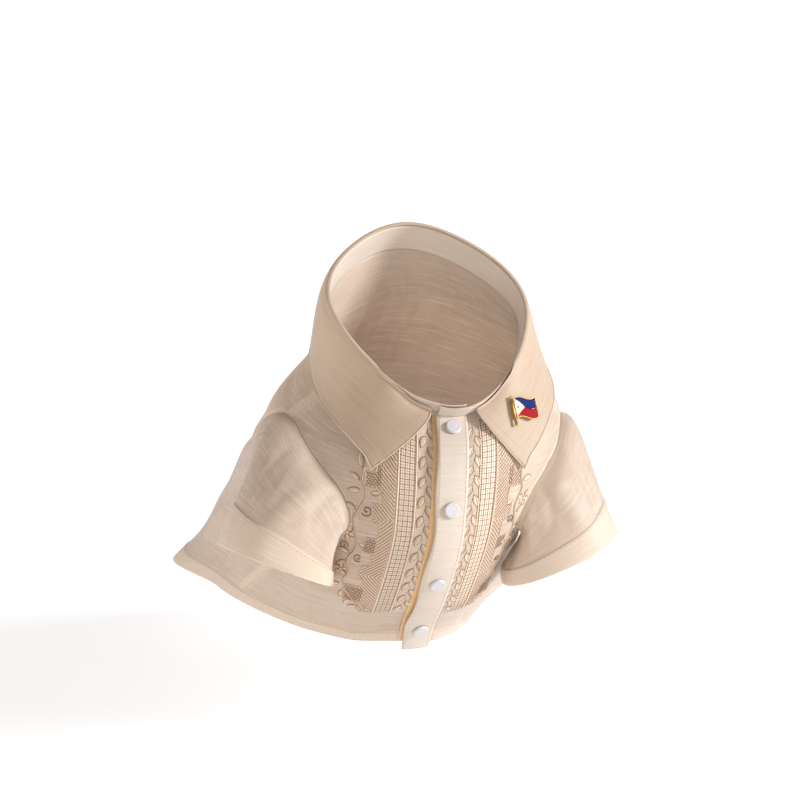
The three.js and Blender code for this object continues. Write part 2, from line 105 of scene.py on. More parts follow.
# creases: angle and v at both ends, half width in mm, height
bodyCreases = [
    (-64, 0.57, -40, 0.66, 4.0, -1.0), (-66, 0.60, -44, 0.78, 5.0, 0.8), (-70, 0.62, -60, 0.84, 4.5, -1.0),
    (60, 0.57, 38, 0.68, 4.0, -1.0), (62, 0.60, 44, 0.80, 5.0, 0.8), (68, 0.64, 58, 0.86, 4.0, -0.9),
    (-84, 0.50, -104, 0.72, 4.0, -1.1), (-92, 0.42, -118, 0.60, 5.0, 0.9), (-96, 0.36, -128, 0.47, 4.0, -0.9),
    (-100, 0.58, -122, 0.90, 4.5, 0.8), (-112, 0.66, -130, 0.97, 3.5, -0.8), (-90, 0.70, -96, 0.95, 4.0, 0.9),
    (86, 0.50, 106, 0.74, 4.0, -1.1), (94, 0.40, 120, 0.58, 5.0, 0.9), (98, 0.35, 130, 0.46, 4.0, -0.8),
    (102, 0.60, 120, 0.92, 4.5, 0.8), (114, 0.64, 134, 0.96, 3.5, -0.8),
    (-150, 0.10, -146, 0.30, 4.0, -0.7), (-165, 0.10, -168, 0.38, 4.5, 0.7), (178, 0.12, 176, 0.34, 4.0, -0.7), (158, 0.10, 160, 0.36, 4.5, 0.7),
    (-160, 0.40, -140, 0.58, 5.0, 0.8), (165, 0.44, 150, 0.66, 4.5, -0.8), (-172, 0.56, -158, 0.94, 5.0, 0.9), (176, 0.62, 162, 0.97, 4.5, 0.8),
    (-34, 0.84, -26, 0.99, 4.0, 0.6), (30, 0.86, 24, 0.99, 3.5, -0.6), (-56, 0.16, -50, 0.34, 4.0, -0.6), (52, 0.14, 56, 0.30, 4.0, -0.5),
]


def curveThrough(rows, values, v):  # a smooth curve through a table's rows
    rows, values = np.array(rows, float), np.array(values, float)
    last = len(rows) - 1
    slopes = np.array([(values[min(k + 1, last)] - values[max(k - 1, 0)]) / (rows[min(k + 1, last)] - rows[max(k - 1, 0)]) for k in range(last + 1)])
    i = np.searchsorted(rows[1:-1], v, side="left")
    span = rows[i + 1] - rows[i]
    t = (v - rows[i]) / span
    return ((2 * t**3 - 3 * t**2 + 1) * values[i] + (t**3 - 2 * t**2 + t) * span * slopes[i]
            + (-2 * t**3 + 3 * t**2) * values[i + 1] + (t**3 - t**2) * span * slopes[i + 1])


def column(key, v):
    return curveThrough(bodySections["v"], bodySections[key], v)


def bodyBase(angle, v):
    angle, v = np.broadcast_arrays(np.asarray(angle, float), np.asarray(v, float))
    front = np.stack([column("frontX", v), column("frontY", v), column("frontZ", v)], -1)
    back = np.stack([column("backX", v), column("backY", v), column("backZ", v)], -1)
    depth = (back - front) / 2
    across = unit(np.stack([depth[..., 1], -depth[..., 0], np.zeros(v.shape)], -1))
    across[..., 2] = -body["roll"]
    c, s = np.cos(np.radians(angle)), np.sin(np.radians(angle))
    wide = 1 - column("slim", v) * c + np.where(c < 0, column("full", v) * c * c, 0)
    point = (front + back) / 2 + across * each(column("halfWidth", v) * s * wide) - depth * each(c)
    point[..., 2] += column("sideRise", v) * s * s
    return point


def bodyOut(angle, v):
    v = np.asarray(v, float)
    around = bodyBase(angle + 0.5, v) - bodyBase(angle - 0.5, v)
    down = bodyBase(angle, np.minimum(v + 0.01, 1)) - bodyBase(angle, np.maximum(v - 0.01, 0))
    return unit(np.cross(down, around))


def foldHeight(angle, v):
    height = 0
    for at, down, reach, reachDown, tall in bodyFolds:
        turn = (angle - at + 540) % 360 - 180
        height = height + tall * np.exp(-((turn / reach) ** 2) - ((v - down) / reachDown) ** 2)
    return height


def creaseHeight(angle, v):
    height = 0
    for a0, v0, a1, v1, half, tall in bodyCreases:
        turn = ((angle - a0 + 540) % 360 - 180) * 1.55
        run = np.array([(a1 - a0) * 1.55, (v1 - v0) * 205])
        length = np.hypot(*run)
        along = (turn * run[0] + (v - v0) * 205 * run[1]) / length
        off = (turn * run[1] - (v - v0) * 205 * run[0]) / length + 3 * np.sin(along / length * 3)
        height = height + tall * np.exp(-((off / half) ** 2)) * smooth(along / length * 3 + 0.4) * smooth((1.12 - along / length) * 2.4)
    return height * body["creaseStrength"]


def bodyPoint(angle, v, lift):
    angle = np.asarray(angle, float)
    return bodyBase(angle, v) + bodyOut(angle, v) * each(foldHeight(angle, v) + creaseHeight(angle, v) + lift)


def degreesFor(length, angle, v):
    return length / np.linalg.norm(bodyBase(angle + 0.5, v) - bodyBase(angle - 0.5, v), axis=-1)


def bandDip(angle):  # the wearer's right front passes under the top band
    return (foldedThickness + 0.7) * smooth((angle + 30) / 18)


def armholeAt(turn):  # 0 at the shoulder, 90 at the front, 180 in the armpit and 270 at the back
    middle, half = (body["armTop"] + body["armBottom"]) / 2, (body["armBottom"] - body["armTop"]) / 2
    v = middle - half * np.cos(np.radians(turn))
    centre = mix(body["armTopAngle"], body["armBottomAngle"], (v - body["armTop"]) / (2 * half))
    s = np.sin(np.radians(turn))
    return v, centre - s * np.where(s > 0, body["armFront"], body["armBack"])


def seamLine(back, shoulder=24, arm=96, hem=72):  # v and angle down a panel's edge: shoulder seam, armhole, side seam
    a, b, c = np.linspace(0, 1, shoulder)[:-1], np.linspace(0, 1, arm)[:-1], np.linspace(0, 1, hem)
    armV, armAngle = armholeAt(360 - 180 * b if back else 180 * b)
    v = np.concatenate([body["armTop"] * a, armV, mix(body["armBottom"], 1, c)])
    return v, np.concatenate([mix(body["shoulderNeck"], body["shoulderArm"], a), armAngle, mix(body["armBottomAngle"], body["seamHemAngle"], c)])


# turning grids of points into cloth
def gridMesh(name, points, uv, out, closed=False):
    rows, columns = uv.shape[:2]
    wide = columns - 1 if closed else columns
    i, j = np.meshgrid(np.arange(rows - 1), np.arange(columns - 1), indexing="ij")
    corners = [(i, j), (i + 1, j), (i + 1, j + 1), (i, j + 1)]
    middle = points[rows // 2, columns // 2]
    facing = np.cross(points[rows // 2 + 1, columns // 2] - middle, points[rows // 2, columns // 2 + 1] - middle)
    if facing @ np.asarray(out) < 0:
        corners.reverse()
    faces = np.stack([a * wide + b % wide for a, b in corners], -1).reshape(-1, 4)
    mesh = bpy.data.meshes.new(name)
    mesh.from_pydata((points[:, :wide].reshape(-1, 3) * mm).tolist(), [], faces.tolist())
    layer = mesh.uv_layers.new(name="cloth")
    layer.data.foreach_set("uv", (np.stack([uv[a, b] for a, b in corners], -2).reshape(-1) * 0.01))
    mesh.polygons.foreach_set("use_smooth", [True] * len(mesh.polygons))
    mesh.validate()
    piece = bpy.data.objects.new(name, mesh)
    bpy.context.scene.collection.objects.link(piece)
    return piece


def markDoubledAndPaintedLight(piece, doubledAndPaintedLight, closed=False):  # how far the cloth lies double at each point, at hems and seam allowances; on the fronts the same mark also paints a paler ground, partly painted light
    wide = doubledAndPaintedLight.shape[1] - 1 if closed else doubledAndPaintedLight.shape[1]
    marks = piece.data.attributes.new("doubledAndPaintedLight", "FLOAT", "POINT")
    marks.data.foreach_set("value", np.ascontiguousarray(doubledAndPaintedLight[:, :wide], dtype=np.float32).reshape(-1))


def thicken(piece, thickness):
    shell = piece.modifiers.new("cloth", "SOLIDIFY")
    shell.thickness, shell.offset = thickness * mm, -1
    return piece


def lengthUv(points, start=0.0, y=None):  # the cloth's own millimetres, so that the weave keeps its size
    across = np.concatenate([np.zeros((len(points), 1)), np.cumsum(np.linalg.norm(np.diff(points, axis=1), axis=-1), axis=1)], 1)
    down = np.concatenate([[0], np.cumsum(np.linalg.norm(np.diff(points, axis=0), axis=-1).mean(1))]) if y is None else y
    return np.stack([across + np.reshape(start, (-1, 1)), np.broadcast_to(np.reshape(down, (-1, 1)), across.shape)], -1)


neckToHem = np.linspace(0, 1, 241)
frontLine = bodyBase(np.zeros(241), neckToHem)
frontDown = np.concatenate([[0], np.cumsum(np.linalg.norm(np.diff(frontLine, axis=0), axis=-1))])  # mm down the chest at each v
frontLength = frontDown[-1]


def vAt(y):
    return np.interp(y, frontDown, neckToHem)


def yAt(v):
    return np.interp(v, neckToHem, frontDown)


def clothLift(v, extra=0.0):
    return mix(clothThickness, foldedThickness, smooth((v - body["hemV"]) / 0.008)) + extra


# materials
paints = {}


def nodeMaterial(name):
    material = bpy.data.materials.new(name)
    material.use_nodes = True
    paints[name] = material
    return material, material.node_tree.nodes, material.node_tree.links


def clothNoise(nodes, links, uv, scale, detail=3.0, rough=0.55):
    place = nodes.new("ShaderNodeMapping")
    place.inputs["Scale"].default_value = (*scale, 1)
    noise = nodes.new("ShaderNodeTexNoise")
    noise.inputs["Scale"].default_value = 1.0
    noise.inputs["Detail"].default_value = detail
    noise.inputs["Roughness"].default_value = rough
    links.new(uv, place.inputs["Vector"])
    links.new(place.outputs["Vector"], noise.inputs["Vector"])
    return noise.outputs["Fac"]


def ramp(nodes, links, value, low, high, smoothed=True):
    scale = nodes.new("ShaderNodeMapRange")
    scale.interpolation_type = "SMOOTHSTEP" if smoothed else "LINEAR"
    scale.inputs["From Min"].default_value, scale.inputs["From Max"].default_value = low, high
    links.new(value, scale.inputs["Value"])
    return scale.outputs["Result"]


def math2(nodes, links, operation, a, b):
    node = nodes.new("ShaderNodeMath")
    node.operation = operation
    for socket, value in zip(node.inputs, (a, b)):
        if isinstance(value, (int, float)):
            socket.default_value = value
        else:
            links.new(value, socket)
    return node.outputs["Value"]


def blendColour(nodes, links, factor, a, b):
    node = nodes.new("ShaderNodeMix")
    node.data_type = "RGBA"
    links.new(factor, node.inputs["Factor"])
    for socket, colour in ((node.inputs[6], a), (node.inputs[7], b)):
        if isinstance(colour, tuple):
            socket.default_value = (*colour, 1)
        else:
            links.new(colour, socket)
    return node.outputs[2]


fabrics = {
    # colours of the cloth's ground, its thick slub threads, its thin places and where it lies double, the last also
    # used for the fronts' paler ground that is partly painted light; how strong the slubs are
    "sheerCloth": {"ground": (0.70, 0.56, 0.445), "slub": (0.95, 0.85, 0.75), "thin": (0.58, 0.45, 0.345), "doubleAndPaintedLight": (0.81, 0.68, 0.55), "slubs": 0.62, "glow": 0.30, "rough": 0.42, "sheen": 0.5, "bump": 0.34},
    # the crisp collar cloth is painted darker than its own tone: part painted shade, standing in for the shadow the
    # wearer's head casts on the right collar leaf
    "crispCloth": {"ground": (0.52, 0.385, 0.280), "slub": (0.66, 0.53, 0.41), "thin": (0.46, 0.325, 0.23), "doubleAndPaintedLight": (0.60, 0.45, 0.34), "slubs": 0.30, "glow": 0.06, "rough": 0.55, "sheen": 0.25, "bump": 0.20},
    "bandCloth": {"ground": (0.67, 0.57, 0.48), "slub": (0.80, 0.72, 0.64), "thin": (0.62, 0.52, 0.43), "doubleAndPaintedLight": (0.74, 0.65, 0.56), "slubs": 0.45, "glow": 0.06, "rough": 0.52, "sheen": 0.25, "bump": 0.22},
    "underCloth": {"ground": (0.78, 0.50, 0.25), "slub": (0.86, 0.60, 0.35), "thin": (0.66, 0.42, 0.20), "doubleAndPaintedLight": (0.78, 0.50, 0.25), "slubs": 0.35, "glow": 0.06, "rough": 0.60, "sheen": 0.20, "bump": 0.22},
}


def clothMaterial(name, values):
    material, nodes, links = nodeMaterial(name)
    shader = nodes["Principled BSDF"]
    uv = nodes.new("ShaderNodeUVMap")
    uv.uv_map = "cloth"
    uv = uv.outputs["UV"]
    slubs = ramp(nodes, links, clothNoise(nodes, links, uv, (3.2, 95.0), 2.5), 0.50, 0.72)         # long thick threads across
    shortSlubs = ramp(nodes, links, clothNoise(nodes, links, uv, (9.0, 160.0), 2.0), 0.56, 0.74)
    warp = ramp(nodes, links, clothNoise(nodes, links, uv, (150.0, 6.0), 2.0), 0.40, 0.75)
    thin = ramp(nodes, links, clothNoise(nodes, links, uv, (2.2, 26.0), 3.0), 0.38, 0.66)
    cloudy = ramp(nodes, links, clothNoise(nodes, links, uv, (2.0, 2.6), 2.0), 0.30, 0.70)
    threads = math2(nodes, links, "ADD", math2(nodes, links, "MULTIPLY", slubs, 0.7), math2(nodes, links, "MULTIPLY", shortSlubs, 0.45))
    threads = math2(nodes, links, "ADD", threads, math2(nodes, links, "MULTIPLY", warp, 0.22))
    colour = blendColour(nodes, links, math2(nodes, links, "MULTIPLY", math2(nodes, links, "MULTIPLY", thin, cloudy), 0.8), values["ground"], values["thin"])
    # this mark also carries the fronts' paler ground, which on the wearer's right is painted light lifting its shade
    doubledAndPaintedLight = nodes.new("ShaderNodeAttribute")
    doubledAndPaintedLight.attribute_name = "doubledAndPaintedLight"
    colour = blendColour(nodes, links, math2(nodes, links, "MULTIPLY", doubledAndPaintedLight.outputs["Fac"], 0.8), colour, values["doubleAndPaintedLight"])
    colour = blendColour(nodes, links, math2(nodes, links, "MULTIPLY", threads, values["slubs"]), colour, values["slub"])
    links.new(colour, shader.inputs["Base Color"])
    shader.inputs["Roughness"].default_value = values["rough"]
    shader.inputs["Sheen Weight"].default_value = values["sheen"]
    shader.inputs["Sheen Roughness"].default_value = 0.4
    shader.inputs["Specular IOR Level"].default_value = 0.3
    # plain weave: fine threads both ways, with the slubs standing proud
    weft = nodes.new("ShaderNodeTexWave")
    warpWave = nodes.new("ShaderNodeTexWave")
    for wave, way in ((weft, "Y"), (warpWave, "X")):
        wave.bands_direction = way
        wave.inputs["Scale"].default_value = 62.0
        wave.inputs["Distortion"].default_value = 1.2
        wave.inputs["Detail Scale"].default_value = 4.0
        links.new(uv, wave.inputs["Vector"])
    weave = math2(nodes, links, "ADD", weft.outputs["Fac"], warpWave.outputs["Fac"])
    height = math2(nodes, links, "ADD", math2(nodes, links, "MULTIPLY", weave, 0.25), threads)
    bump = nodes.new("ShaderNodeBump")
    bump.inputs["Strength"].default_value = values["bump"]
    bump.inputs["Distance"].default_value = 0.0003
    links.new(height, bump.inputs["Height"])
    links.new(bump.outputs["Normal"], shader.inputs["Normal"])
    if values["glow"]:
        through = nodes.new("ShaderNodeBsdfTranslucent")
        both = nodes.new("ShaderNodeMixShader")
        both.inputs["Fac"].default_value = values["glow"]
        links.new(colour, through.inputs["Color"])
        links.new(shader.outputs["BSDF"], both.inputs[1])
        links.new(through.outputs["BSDF"], both.inputs[2])
        links.new(both.outputs["Shader"], nodes["Material Output"].inputs["Surface"])
    return material


for fabricName, fabric in fabrics.items():
    clothMaterial(fabricName, fabric)

threadPaints = {
    "edgeCloth": {"colour": (0.60, 0.47, 0.37), "dark": (0.50, 0.38, 0.29), "rough": 0.55},
    "seamThread": {"colour": (0.80, 0.68, 0.54), "dark": (0.62, 0.48, 0.36), "rough": 0.5},
    "stitchThread": {"colour": (0.66, 0.51, 0.38), "dark": (0.48, 0.35, 0.24), "rough": 0.45},
    # tan thread, also the painted-shade half of each satin leaf
    "tanThread": {"colour": (0.60, 0.42, 0.28), "dark": (0.46, 0.30, 0.19), "rough": 0.42},
    "brownThread": {"colour": (0.26, 0.135, 0.07), "dark": (0.19, 0.095, 0.048), "rough": 0.45},
    "creamThread": {"colour": (0.90, 0.74, 0.60), "dark": (0.76, 0.60, 0.46), "rough": 0.42},
    "paleThread": {"colour": (0.86, 0.72, 0.59), "dark": (0.74, 0.60, 0.47), "rough": 0.5},
    # the pale half of each satin leaf: painted light, beside the tan half that is painted shade
    "leafLitThread": {"colour": (0.78, 0.60, 0.45), "dark": (0.64, 0.47, 0.33), "rough": 0.42},
    "fillThread": {"colour": (0.74, 0.56, 0.42), "dark": (0.60, 0.43, 0.30), "rough": 0.5},
}


def threadMaterial(name, values):
    material, nodes, links = nodeMaterial(name)
    shader = nodes["Principled BSDF"]
    uv = nodes.new("ShaderNodeUVMap")
    uv.uv_map = "cloth"
    strands = clothNoise(nodes, links, uv.outputs["UV"], (260.0, 35.0), 2.0)
    links.new(blendColour(nodes, links, ramp(nodes, links, strands, 0.35, 0.65), values["dark"], values["colour"]), shader.inputs["Base Color"])
    shader.inputs["Roughness"].default_value = values["rough"]
    shader.inputs["Sheen Weight"].default_value = 0.3
    bump = nodes.new("ShaderNodeBump")
    bump.inputs["Strength"].default_value = 0.5
    bump.inputs["Distance"].default_value = 0.0002
    links.new(strands, bump.inputs["Height"])
    links.new(bump.outputs["Normal"], shader.inputs["Normal"])


for threadName, thread in threadPaints.items():
    threadMaterial(threadName, thread)

hardPaints = {
    "snapPlastic": {"colour": (0.62, 0.59, 0.60), "metal": 0.0, "rough": 0.38, "speckle": 0.03, "coat": 0.1, "gloss": 0.4},
    "pinGold": {"colour": (0.62, 0.37, 0.11), "metal": 0.8, "rough": 0.34, "speckle": 0.10, "coat": 0.0, "gloss": 0.5},
    "darkGold": {"colour": (0.36, 0.17, 0.04), "metal": 0.6, "rough": 0.45, "speckle": 0.10, "coat": 0.0, "gloss": 0.3},
    "blueEnamel": {"colour": (0.006, 0.018, 0.13), "metal": 0.0, "rough": 0.5, "speckle": 0.05, "coat": 0.0, "gloss": 0.06},
    "redEnamel": {"colour": (0.36, 0.003, 0.010), "metal": 0.0, "rough": 0.5, "speckle": 0.05, "coat": 0.0, "gloss": 0.06},
    "whiteEnamel": {"colour": (0.84, 0.83, 0.81), "metal": 0.0, "rough": 0.55, "speckle": 0.03, "coat": 0.0, "gloss": 0.08},
}


def hardMaterial(name, values):
    material, nodes, links = nodeMaterial(name)
    shader = nodes["Principled BSDF"]
    place = nodes.new("ShaderNodeTexCoord")
    grain = nodes.new("ShaderNodeTexNoise")
    grain.inputs["Scale"].default_value = 420.0
    grain.inputs["Detail"].default_value = 4.0
    links.new(place.outputs["Object"], grain.inputs["Vector"])
    darker = tuple(c * (1 - 2 * values["speckle"]) for c in values["colour"])
    links.new(blendColour(nodes, links, ramp(nodes, links, grain.outputs["Fac"], 0.35, 0.65), darker, values["colour"]), shader.inputs["Base Color"])
    spread = nodes.new("ShaderNodeMapRange")
    spread.inputs["To Min"].default_value, spread.inputs["To Max"].default_value = values["rough"] * 0.8, values["rough"] * 1.3
    links.new(grain.outputs["Fac"], spread.inputs["Value"])
    links.new(spread.outputs["Result"], shader.inputs["Roughness"])
    shader.inputs["Metallic"].default_value = values["metal"]
    shader.inputs["Coat Weight"].default_value = values["coat"]
    shader.inputs["Specular IOR Level"].default_value = values["gloss"]
    bump = nodes.new("ShaderNodeBump")
    bump.inputs["Strength"].default_value = 0.06
    bump.inputs["Distance"].default_value = 0.0002
    links.new(grain.outputs["Fac"], bump.inputs["Height"])
    links.new(bump.outputs["Normal"], shader.inputs["Normal"])


for hardName, hard in hardPaints.items():
    hardMaterial(hardName, hard)
print("materials made:", len(paints))


def dress(piece, paint, slot, *nodes):
    piece.data.materials.append(paints[paint])
    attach(piece, "root")
    if nodes:
        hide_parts(*nodes)
    return piece


# threads: ribbons with a round back, and tubes
ribbonProfile = np.array([(-0.5, 0.0), (-0.30, 0.8), (0.0, 1.0), (0.30, 0.8), (0.5, 0.0)])
tubeProfile = np.array([(0.5 * math.cos(a), 0.5 * math.sin(a)) for a in np.linspace(0, 2 * math.pi, 9)])


def threadMesh(name, paths, paint, slot="sheer_cloth", profile=ribbonProfile):
    # each path: points, the way up at each, width, height, and whether its ends taper
    points, faces, uvs = [], [], []
    count = 0
    for line, up, width, height, taper in paths:
        n = len(line)
        along = unit(np.gradient(line, axis=0))
        side = unit(np.cross(along, up))
        size = np.ones(n)
        if taper:
            size = np.sqrt(np.clip(np.sin(np.linspace(0.06, 0.94, n) * math.pi), 0, 1))
        wide, tall = np.broadcast_to(width, n) * size, np.broadcast_to(height, n) * size
        ring = line[:, None] + side[:, None] * (profile[None, :, :1] * wide[:, None, None]) + up[:, None] * (profile[None, :, 1:] * tall[:, None, None])
        k = len(profile)
        points.append(ring.reshape(-1, 3))
        i, j = np.meshgrid(np.arange(n - 1), np.arange(k - 1), indexing="ij")
        faces.append(np.stack([count + a * k + b for a, b in ((i, j), (i, j + 1), (i + 1, j + 1), (i + 1, j))], -1).reshape(-1, 4))
        run = np.concatenate([[0], np.cumsum(np.linalg.norm(np.diff(line, axis=0), axis=-1))])
        grid = np.stack([np.broadcast_to(run[:, None], (n, k)), np.broadcast_to(profile[None, :, 0] * np.mean(wide), (n, k))], -1)
        uvs.append(np.stack([grid[a, b] for a, b in ((i, j), (i, j + 1), (i + 1, j + 1), (i + 1, j))], -2).reshape(-1, 2))
        count += n * k
    mesh = bpy.data.meshes.new(name)
    mesh.from_pydata((np.concatenate(points) * mm).tolist(), [], np.concatenate(faces).tolist())
    layer = mesh.uv_layers.new(name="cloth")
    layer.data.foreach_set("uv", np.concatenate(uvs).reshape(-1) * 0.01)
    mesh.polygons.foreach_set("use_smooth", [True] * len(mesh.polygons))
    piece = bpy.data.objects.new(name, mesh)
    bpy.context.scene.collection.objects.link(piece)
    return dress(piece, paint, slot)


def seamRoll(name, line, radius, paint="seamThread", slot="sheer_cloth"):
    line = np.asarray(line, float)
    along = unit(np.gradient(line, axis=0))
    up = unit(np.cross(along, np.roll(along, 1, axis=1) + 0.37))
    return threadMesh(name, [(line, up, 2 * radius, 2 * radius, False)], paint, slot, tubeProfile)


def stitchPaths(line, up, stitch=2.3, gap=0.9, width=0.42, height=0.22):
    run = np.concatenate([[0], np.cumsum(np.linalg.norm(np.diff(line, axis=0), axis=-1))])
    paths = []
    for start in np.arange(0.5, run[-1] - stitch, stitch + gap):
        at = np.linspace(start, start + stitch, 4)
        spot = np.stack([np.interp(at, run, line[:, k]) for k in range(3)], -1)
        rise = unit(np.stack([np.interp(at, run, up[:, k]) for k in range(3)], -1))
        paths.append((spot, rise, width, height, True))
    return paths


# the body's panels
bandHalf = {"top": 10.5, "under": 13.5}   # half widths of the two bands
# the fronts' paler ground beside the band is full on the wearer's right and 0.4 on the left: painted light that lifts
# the right front's shade
panel = {"across": 84, "aroundBack": 230, "tuck": 1.6, "allowance": 8.0, "paleGround": 38, "paleGroundAndPaintedLight": {-1: 1.0, 1: 0.4}}   # the allowance is pressed back from the shoulder and side seams


def hemMark(v):
    return smooth((v - body["hemV"] + 0.003) / 0.005)



def frontPanel(side):
    v, seam = seamLine(False)
    inner = (bandHalf["top"] if side > 0 else bandHalf["under"]) - panel["tuck"]
    start = inner * degreesFor(1, 0, v)
    share = np.linspace(0, 1, panel["across"])[None]
    angle = side * mix(start[:, None], seam[:, None], share)
    grid = np.broadcast_to(v[:, None], angle.shape)
    lift = clothLift(grid) - smooth((inner + 2.5 - np.abs(angle) / degreesFor(1, 0, grid)) / 2.0) * 0.7
    if side < 0:
        lift = lift - bandDip(angle)
    points = bodyPoint(angle, grid, lift)
    uv = lengthUv(points, inner, yAt(v))
    uv[..., 0] *= side
    name = "frontLeft" if side > 0 else "frontRight"
    piece = gridMesh(name, points, uv, bodyOut(side * 40.0, 0.5))
    fromSeam = (seam[:, None] - np.abs(angle)) / degreesFor(1, side * seam[:, None], grid)
    fromMiddle = np.abs(angle) / degreesFor(1, side * 20.0, grid)   # the cloth is painted paler behind the embroidery next to the band, fully on the wearer's right front as painted light that lifts its shade, less on the left
    paleGround = smooth((panel["paleGround"] - fromMiddle) / 4) * smooth((yAt(grid) - 4) / 4) * smooth((162 - yAt(grid)) / 4)
    markDoubledAndPaintedLight(piece, np.maximum(hemMark(grid), np.maximum(panel["paleGroundAndPaintedLight"][side] * paleGround, 0.6 * smooth((panel["allowance"] * 0.6 - fromSeam) / 1.0))))
    thicken(piece, body["thickness"])
    return dress(piece, "sheerCloth", "sheer_cloth", "front_left" if side > 0 else "front_right")


def backPanel():
    v, seam = seamLine(True)
    share = np.linspace(0, 1, panel["aroundBack"])[None]
    angle = mix(seam[:, None], 360 - seam[:, None], share)
    grid = np.broadcast_to(v[:, None], angle.shape)
    points = bodyPoint(angle, grid, clothLift(grid))
    uv = lengthUv(points, 0.0, yAt(v) * 1.35)
    uv[..., 0] -= uv[:, -1:, 0] / 2
    piece = gridMesh("backPanel", points, uv, bodyOut(180.0, 0.5))
    fromSeam = (np.minimum(angle, 360 - angle) - seam[:, None]) / degreesFor(1, seam[:, None], grid)
    inArm = smooth((grid - body["armTop"]) / 0.02) * smooth((body["armBottom"] - grid) / 0.02)
    markDoubledAndPaintedLight(piece, np.maximum(hemMark(grid), smooth((mix(panel["allowance"], panel["allowance"] * 0.6, inArm) - fromSeam) / 1.0)))
    thicken(piece, body["thickness"])
    return dress(piece, "sheerCloth", "sheer_cloth", "back")


frontRight = frontPanel(-1)
frontLeft = frontPanel(1)
back = backPanel()
print("body panels made")

# seams, the rolled hem edge and its stitches
shoulderV = np.linspace(0, body["armTop"], 30)
shoulderAngle = mix(body["shoulderNeck"], body["shoulderArm"], np.linspace(0, 1, 30))
sideV = np.linspace(body["armBottom"], 1, 80)
sideAngle = mix(body["armBottomAngle"], body["seamHemAngle"], np.linspace(0, 1, 80))
armTurn = np.linspace(0, 360, 200)
armV, armAngle = armholeAt(armTurn)
bodySeams, armSeams = [], {}
for side, word in ((-1, "Right"), (1, "Left")):
    bodySeams.append(seamRoll("shoulderSeam" + word, bodyPoint(side * shoulderAngle, shoulderV, 1.0), 0.42))
    bodySeams.append(seamRoll("sideSeam" + word, bodyPoint(side * sideAngle, sideV, clothLift(sideV, -0.2)), 0.42))
    armSeams[word] = seamRoll("armholeSeam" + word, bodyPoint(side * armAngle, armV, 0.95), 0.62)

hemAngle = np.linspace(-bandHalf["under"] * degreesFor(1, 0, 1), -360 + bandHalf["top"] * degreesFor(1, 0, 1), 420)


def hemDip(angle):
    return np.where(angle > -180, bandDip(angle), 0)


hemLine = bodyPoint(hemAngle, np.full(420, 0.9995), foldedThickness - 0.45 - hemDip(hemAngle))
bodySeams.append(seamRoll("hemEdge", hemLine, 0.5, "seamThread"))
hemTop = np.full(420, body["hemV"] + 0.006)
hemUp = bodyOut(hemAngle, hemTop)
bodySeams.append(threadMesh("hemStitches", stitchPaths(bodyPoint(hemAngle, hemTop, foldedThickness + 0.02 - hemDip(hemAngle)), hemUp), "stitchThread"))

# sleeves: each line of cloth leaves the armhole outwards and bends down to the cuff
sleeves = [
    {"name": "Right", "node": "sleeve_right", "side": -1, "cuff": (-126.5, -43.5, -148), "long": 39, "short": 27, "turn": 20, "rise": 21, "pitch": 15, "flat": (0.264, 0.108), "area": 0.0148},
    {"name": "Left", "node": "sleeve_left", "side": 1, "cuff": (76.3, -46.3, -163), "long": 42, "short": 27, "turn": -4, "rise": 22, "pitch": 5, "flat": (0.265, 0.093), "area": 0.0144},
]
sleeveLook = {"puff": 15, "underarmTurn": 24, "hemStart": 0.8, "around": 170, "allowance": 5.0, "thickness": 0.7}
# as in the solids: turn round the sleeve, share down, reaches, height
sleeveFolds = [
    (62, 0.55, 16, 0.45, 3.2), (30, 0.60, 15, 0.40, -3.0), (100, 0.45, 14, 0.34, -2.4), (150, 0.55, 16, 0.40, -1.8), (305, 0.55, 20, 0.40, 2.6), (255, 0.60, 18, 0.35, -2.2),
]
# creases: turn and share at both ends, half width in mm, height
sleeveCreases = [
    (40, 0.10, 52, 0.80, 3.5, 0.7), (78, 0.12, 84, 0.62, 3.5, -0.8), (118, 0.10, 92, 0.48, 4.0, 0.8), (134, 0.08, 118, 0.60, 3.5, -0.9), (160, 0.12, 150, 0.80, 4.0, 0.8),
    (190, 0.10, 200, 0.70, 4.0, -0.8), (228, 0.10, 246, 0.66, 4.0, 0.9), (262, 0.10, 278, 0.50, 3.5, -0.8), (318, 0.12, 322, 0.78, 4.5, -0.8), (350, 0.10, 346, 0.60, 4.0, 0.6), (14, 0.30, 8, 0.94, 4.0, -0.5),
    (36, 0.16, 33, 0.99, 2.2, 0.8), (60, 0.36, 50, 0.76, 3.0, -1.0), (24, 0.44, 22, 0.80, 3.2, 0.6), (88, 0.30, 70, 0.70, 3.0, -0.7),
]


